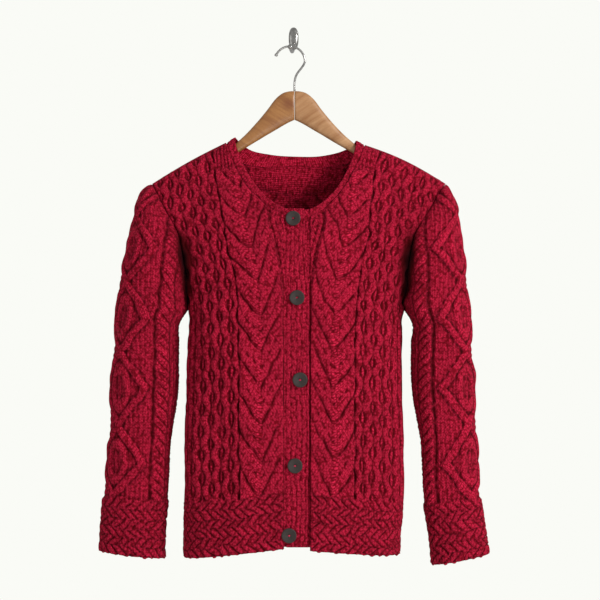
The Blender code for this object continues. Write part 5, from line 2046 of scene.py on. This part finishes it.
@dataclass
class WoodArm:
    """One arm of the wooden hanger: oval sections that slope out and down.

    Args:
        name: the piece's name.
        node: the CAD node that it stands for.
        way: 1 to the wearer's left, -1 to the right.
        material: its wood.
        sections: sections along it.
        sides: edges of its round.
    """

    name: str
    node: str
    way: float
    material: bpy.types.Material
    sections: int = 64
    sides: int = 36

    def build(self) -> None:
        """Makes the arm."""
        places = np.linspace(ARM[0][0], ARM[-1][0], self.sections)
        shape = smooth(ARM, places)
        angles = np.linspace(0.0, 2.0 * np.pi, self.sides, endpoint=False)
        rings = []
        for x, (upper, lower, depth) in zip(places, shape):
            drop = ARM_DROP * max(x - 60.0, 0.0) / 124.0 if self.way < 0.0 else 0.0
            half = 0.5 * (upper - lower)
            middle = 0.5 * (upper + lower) - drop
            y = HANG_Y + depth * oval(np.cos(angles), 0.7)
            z = middle + half * oval(np.sin(angles), 0.9)
            rings.append(np.stack([np.full(self.sides, x * self.way), y, z], axis=1))
        work = round_bar(np.array(rings) * MM)
        piece = finish_object(self.name, work, [self.material])
        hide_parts(self.node)


@dataclass
class WireHook:
    """Bent wire hook with a short thicker cap on its tip.

    Args:
        finishes: the materials of the whole piece.
        sides: edges of its round.
        cap: radius of the cap.
    """

    finishes: Finishes
    sides: int = 16
    cap: float = 2.45

    def build(self) -> None:
        """Makes the hook and its cap."""
        stem = smooth(tuple((k,) + row for k, row in enumerate(HOOK_STEM)),
                      np.linspace(0.0, 5.0, 36))
        angle = np.radians(np.linspace(-3.0, 158.0, 70))
        arc = np.stack([HOOK_CENTRE[0] + HOOK_RADIUS * np.cos(angle),
                        HOOK_CENTRE[1] + HOOK_RADIUS * np.sin(angle)], axis=1)
        flat = np.concatenate([stem[:-1], arc])
        path = np.stack([flat[:, 0], np.full(len(flat), HANG_Y), flat[:, 1]], axis=1)
        work = round_bar(tube_rings(path, np.full(len(path), HOOK_WIRE), self.sides))
        wire = finish_object("hook_wire", work, [self.finishes.wire])
        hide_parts("hanger_hook")
        angle = np.radians(np.linspace(150.5, 160.5, 14))
        tip = np.stack([HOOK_CENTRE[0] + HOOK_RADIUS * np.cos(angle), np.full(14, HANG_Y),
                        HOOK_CENTRE[1] + HOOK_RADIUS * np.sin(angle)], axis=1)
        swell = self.cap * np.array([0.72, 0.93] + 8 * [1.0] + [0.98, 0.93, 0.8, 0.5])
        finish_object("hook_cap", round_bar(tube_rings(tip, swell, self.sides)),
                      [self.finishes.wire])


@dataclass
class WallHook:
    """Domed plate screwed to the wall, with a bent prong that ends in a ball.

    Args:
        finishes: the materials of the whole piece.
        sides: edges of the plate's round.
        middle: x and z of the plate's middle.
        half: half width and half height of the plate.
        dome: share of its size, and depth, of each ring from the wall to the front.
        ball: radius of the ball.
        screw_profile: radius and level of the screw head from its top to its foot.
    """

    finishes: Finishes
    sides: int = 48
    middle: tuple[float, float] = (-1.5, -6.75)
    half: tuple[float, float] = (7.5, 17.25)
    dome: tuple[tuple[float, float], ...] = (
        (0.97, 0.0), (1.0, 0.35), (1.0, 1.2), (0.96, 2.0), (0.88, 3.0), (0.76, 3.9),
        (0.6, 4.5), (0.4, 4.9), (0.2, 5.05),
    )
    ball: float = 4.0
    screw_profile: tuple[tuple[float, float], ...] = (
        (0.0, 1.75), (0.9, 1.65), (1.7, 1.3), (2.3, 0.75), (2.5, 0.2), (2.5, -0.5),
    )

    def plate(self) -> None:
        """Makes the domed plate."""
        angles = np.linspace(0.0, 2.0 * np.pi, self.sides, endpoint=False)
        rings = []
        for scale, depth in self.dome:
            x = self.middle[0] + self.half[0] * scale * oval(np.cos(angles), 0.85)
            z = self.middle[1] + self.half[1] * scale * oval(np.sin(angles), 0.85)
            rings.append(np.stack([x, np.full(self.sides, -depth), z], axis=1))
        piece = finish_object("wall_plate", round_bar(np.array(rings) * MM),
                              [self.finishes.plate])
        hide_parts("hook_plate")

    def prong(self) -> None:
        """Makes the prong and its ball."""
        table = tuple((k,) + row for k, row in enumerate(PRONG))
        values = smooth(table, np.linspace(0.0, 5.6, 50))
        work = round_bar(tube_rings(values[:, :3], values[:, 3], 20))
        piece = finish_object("wall_prong", work, [self.finishes.plate])
        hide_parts("hook_prong")
        work = bmesh.new()
        bmesh.ops.create_uvsphere(work, u_segments=24, v_segments=14, radius=self.ball * MM)
        bmesh.ops.translate(work, verts=work.verts, vec=(-6.3 * MM, -61.0 * MM, -26.6 * MM))
        finish_object("prong_ball", work, [self.finishes.plate])

    def screw(self) -> None:
        """Makes the screw head with its slot."""
        work = bmesh.new()
        start = [work.verts.new((x * MM, 0.0, z * MM)) for x, z in self.screw_profile]
        edges = [work.edges.new(pair) for pair in zip(start[:-1], start[1:])]
        bmesh.ops.spin(work, geom=start + edges, cent=(0.0, 0.0, 0.0), axis=(0.0, 0.0, 1.0),
                       angle=2.0 * math.pi, steps=28, use_merge=True)
        bmesh.ops.remove_doubles(work, verts=work.verts, dist=1e-7)
        rim = [edge for edge in work.edges if edge.is_boundary]
        bmesh.ops.holes_fill(work, edges=rim, sides=0)
        for vert in work.verts:
            if abs(vert.co.x) < 0.5 * MM and vert.co.z > 0.6 * MM:
                vert.co.z -= 0.7 * MM
        bmesh.ops.recalc_face_normals(work, faces=work.faces)
        bmesh.ops.rotate(work, verts=work.verts, cent=(0.0, 0.0, 0.0),
                         matrix=face_front().to_3x3())
        bmesh.ops.translate(work, verts=work.verts, vec=(3.2 * MM, -5.3 * MM, 1.5 * MM))
        piece = finish_object("screw_head", work, [self.finishes.wire])
        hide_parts("hook_screw")

    def build(self) -> None:
        """Makes the plate, prong and screw."""
        self.plate()
        self.prong()
        self.screw()


@dataclass(frozen=True)
class Lamp:
    """A soft square light that looks at the cardigan.

    Args:
        name: its name.
        place: where it hangs, metres.
        size: its side, metres.
        power: watts.
    """

    name: str
    place: tuple[float, float, float]
    size: float
    power: float

    def build(self) -> None:
        """Hangs the light."""
        data = bpy.data.lights.new(self.name, "AREA")
        data.size = self.size
        data.energy = self.power
        lamp = bpy.data.objects.new(self.name, data)
        lamp.location = self.place
        way = Vector((0.0, -0.05, -0.42)) - Vector(self.place)
        lamp.rotation_euler = way.to_track_quat("-Z", "Y").to_euler()
        bpy.context.scene.collection.objects.link(lamp)


@dataclass
class Studio:
    """Pale floor and soft light, with the camera straight in front.

    Args:
        eye: place of the camera, metres.
        lens: its focal length, millimetres.
        floor_level: height of the floor, metres.
        glow: strength of the light that the surroundings give.
        lamps: the lights.
    """

    eye: tuple[float, float, float] = (0.00825, -3.05, -0.405)
    lens: float = 120.0
    floor_level: float = -1.1
    glow: float = 0.5
    lamps: tuple[Lamp, ...] = (Lamp("key", (2.1, -1.9, 0.7), 0.7, 66.0),
                               Lamp("fill", (-2.2, -2.4, -0.1), 1.6, 8.0),
                               Lamp("low", (0.9, -2.4, -1.3), 1.2, 12.0))

    def camera(self) -> None:
        """Puts the camera level with the middle of the cardigan."""
        data = bpy.data.cameras.new("view")
        data.lens = self.lens
        data.sensor_width = 36.0
        data.clip_start = 0.05
        eye = bpy.data.objects.new("view", data)
        eye.location = self.eye
        eye.rotation_euler = (math.radians(90.0), 0.0, 0.0)
        bpy.context.scene.collection.objects.link(eye)
        bpy.context.scene.camera = eye

    def floor(self) -> None:
        """Makes the floor under the cardigan."""
        work = bmesh.new()
        bmesh.ops.create_grid(work, x_segments=4, y_segments=4, size=1.3)
        bmesh.ops.translate(work, verts=work.verts, vec=(0.0, -0.35, self.floor_level))
        mesh = bpy.data.meshes.new("studio_floor")
        work.to_mesh(mesh)
        work.free()
        # rolled emulsion paint: plain, pale and without a shine
        material, _, shader = start_material("matt_white_paint")
        shader.inputs["Base Color"].default_value = linear_colour("ECECE8")
        shader.inputs["Roughness"].default_value = 0.85
        mesh.materials.append(material)
        piece = bpy.data.objects.new("studio_floor", mesh)
        bpy.context.scene.collection.objects.link(piece)

    def world(self) -> None:
        """White surroundings, dimmer for the light that they give."""
        world = bpy.data.worlds.new("white_room")
        bpy.context.scene.world = world
        world.use_nodes = True
        tree = world.node_tree
        tree.nodes.clear()
        seen = add_node(tree, "ShaderNodeBackground",
                        {"Color": linear_colour("FAFBF6"), "Strength": 1.0})
        glow = add_node(tree, "ShaderNodeBackground",
                        {"Color": linear_colour("FFFFFF"), "Strength": self.glow})
        ray = add_node(tree, "ShaderNodeLightPath")
        both = add_node(tree, "ShaderNodeMixShader", {},
                        {0: ray.outputs["Is Camera Ray"], 1: glow.outputs[0],
                         2: seen.outputs[0]})
        add_node(tree, "ShaderNodeOutputWorld", {}, {0: both.outputs[0]})

    def build(self) -> None:
        """Sets up camera, floor, lights and surroundings."""
        self.camera()
        self.floor()
        self.world()
        for lamp in self.lamps:
            lamp.build()
        bpy.context.scene.view_settings.view_transform = "Standard"
        LOG.info("studio ready")


def make_finishes() -> Finishes:
    """Makes the finished materials.

    Returns:
        All of them.
    """
    return Finishes(
        knit=WoolKnit("hand_knitted_wool").build(),
        # the inside's bumps are painted brighter, as painted light
        purl=WoolKnit("purl_side_of_wool", bright="E2244A", deep="7A0210", purl=True).build(),
        # thin strands of the same wool, paler against the dark buttons
        yarn=WoolKnit("sewing_wool", bright="D8405C", deep="7A1024", wale=1.6,
                      course=1.6).build(),
        shell=CoconutShell("waxed_coconut_shell").build(),
        # the arm away from the light has painted shade in its browner colours, and a knot beside
        # the hook
        wood_right=Hardwood("lacquered_beech_painted_shade", "A8743E", "804C20", 32.0,
                            (-10.0, -57.0, -112.0)).build(),
        # painted light: the arm towards the key lamp is painted paler
        wood_left=Hardwood("lacquered_beech_painted_light", "B98C60", "946236", -32.0).build(),
        wire=BrightSteel("nickel_plated_wire", "D6D4D0", 0.16).build(),
        plate=BrightSteel("nickel_plated_steel", "C8C6C2", 0.14).build(),
    )


def main() -> None:
    """Builds the whole piece in order, then its studio."""
    logging.basicConfig(level=logging.INFO, format="%(name)s %(message)s")
    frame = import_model()
    finishes = make_finishes()
    arms = ["hanger_arm_right", "hanger_arm_left"]
    front_right = Front("front_right_knit", "front_right", finishes, (0.235, 0.62), 0.118,
                        ["hanger_arm_right", "back"], FRONT_CREASES, seed=11, side=Side.RIGHT)
    front_left = Front("front_left_knit", "front_left", finishes, (0.235, 0.62), 0.118,
                       ["hanger_arm_left", "back"], OTHER_FRONT_CREASES, seed=31, side=Side.LEFT)
    back = Back("back_knit", "back", finishes, (0.45, 0.62), 0.245, arms, BACK_CREASES, seed=51)
    pieces = [
        front_right, front_left, back,
        Sleeve("sleeve_right_knit", "sleeve_right", finishes, (0.36, 0.585), 0.154,
               ["front_right", "back"], SLEEVE_CREASES, closed=True, seed=71, side=Side.RIGHT),
        Sleeve("sleeve_left_knit", "sleeve_left", finishes, (0.36, 0.585), 0.154,
               ["front_left", "back"], OTHER_SLEEVE_CREASES, closed=True, seed=91, side=Side.LEFT),
        NeckBand("neckband_knit", "neckband", finishes, (0.50, 0.016), None,
                 ["back", "front_right", "front_left"], back=back),
        FrontBand("buttonhole_band_knit", "buttonhole_band", finishes, (0.037, 0.497), None,
                  ["front_right"], side=Side.RIGHT),
        FrontBand("button_band_knit", "button_band", finishes, (0.036, 0.497), None,
                  ["front_left"], side=Side.LEFT, sewn=20.5, free=UNDER_FREE,
                  span=(-765.5, -272.0), height=0.5),
    ]
    for piece in pieces:
        piece.build()
    Buttons(finishes).build()
    WoodArm("wood_arm_right", "hanger_arm_right", -1.0, finishes.wood_right).build()
    WoodArm("wood_arm_left", "hanger_arm_left", 1.0, finishes.wood_left).build()
    WireHook(finishes).build()
    WallHook(finishes).build()
    Studio().build()
    LOG.info("%d nodes in the frame", len(frame["nodes"]))


if __name__ == "__main__":
    main()
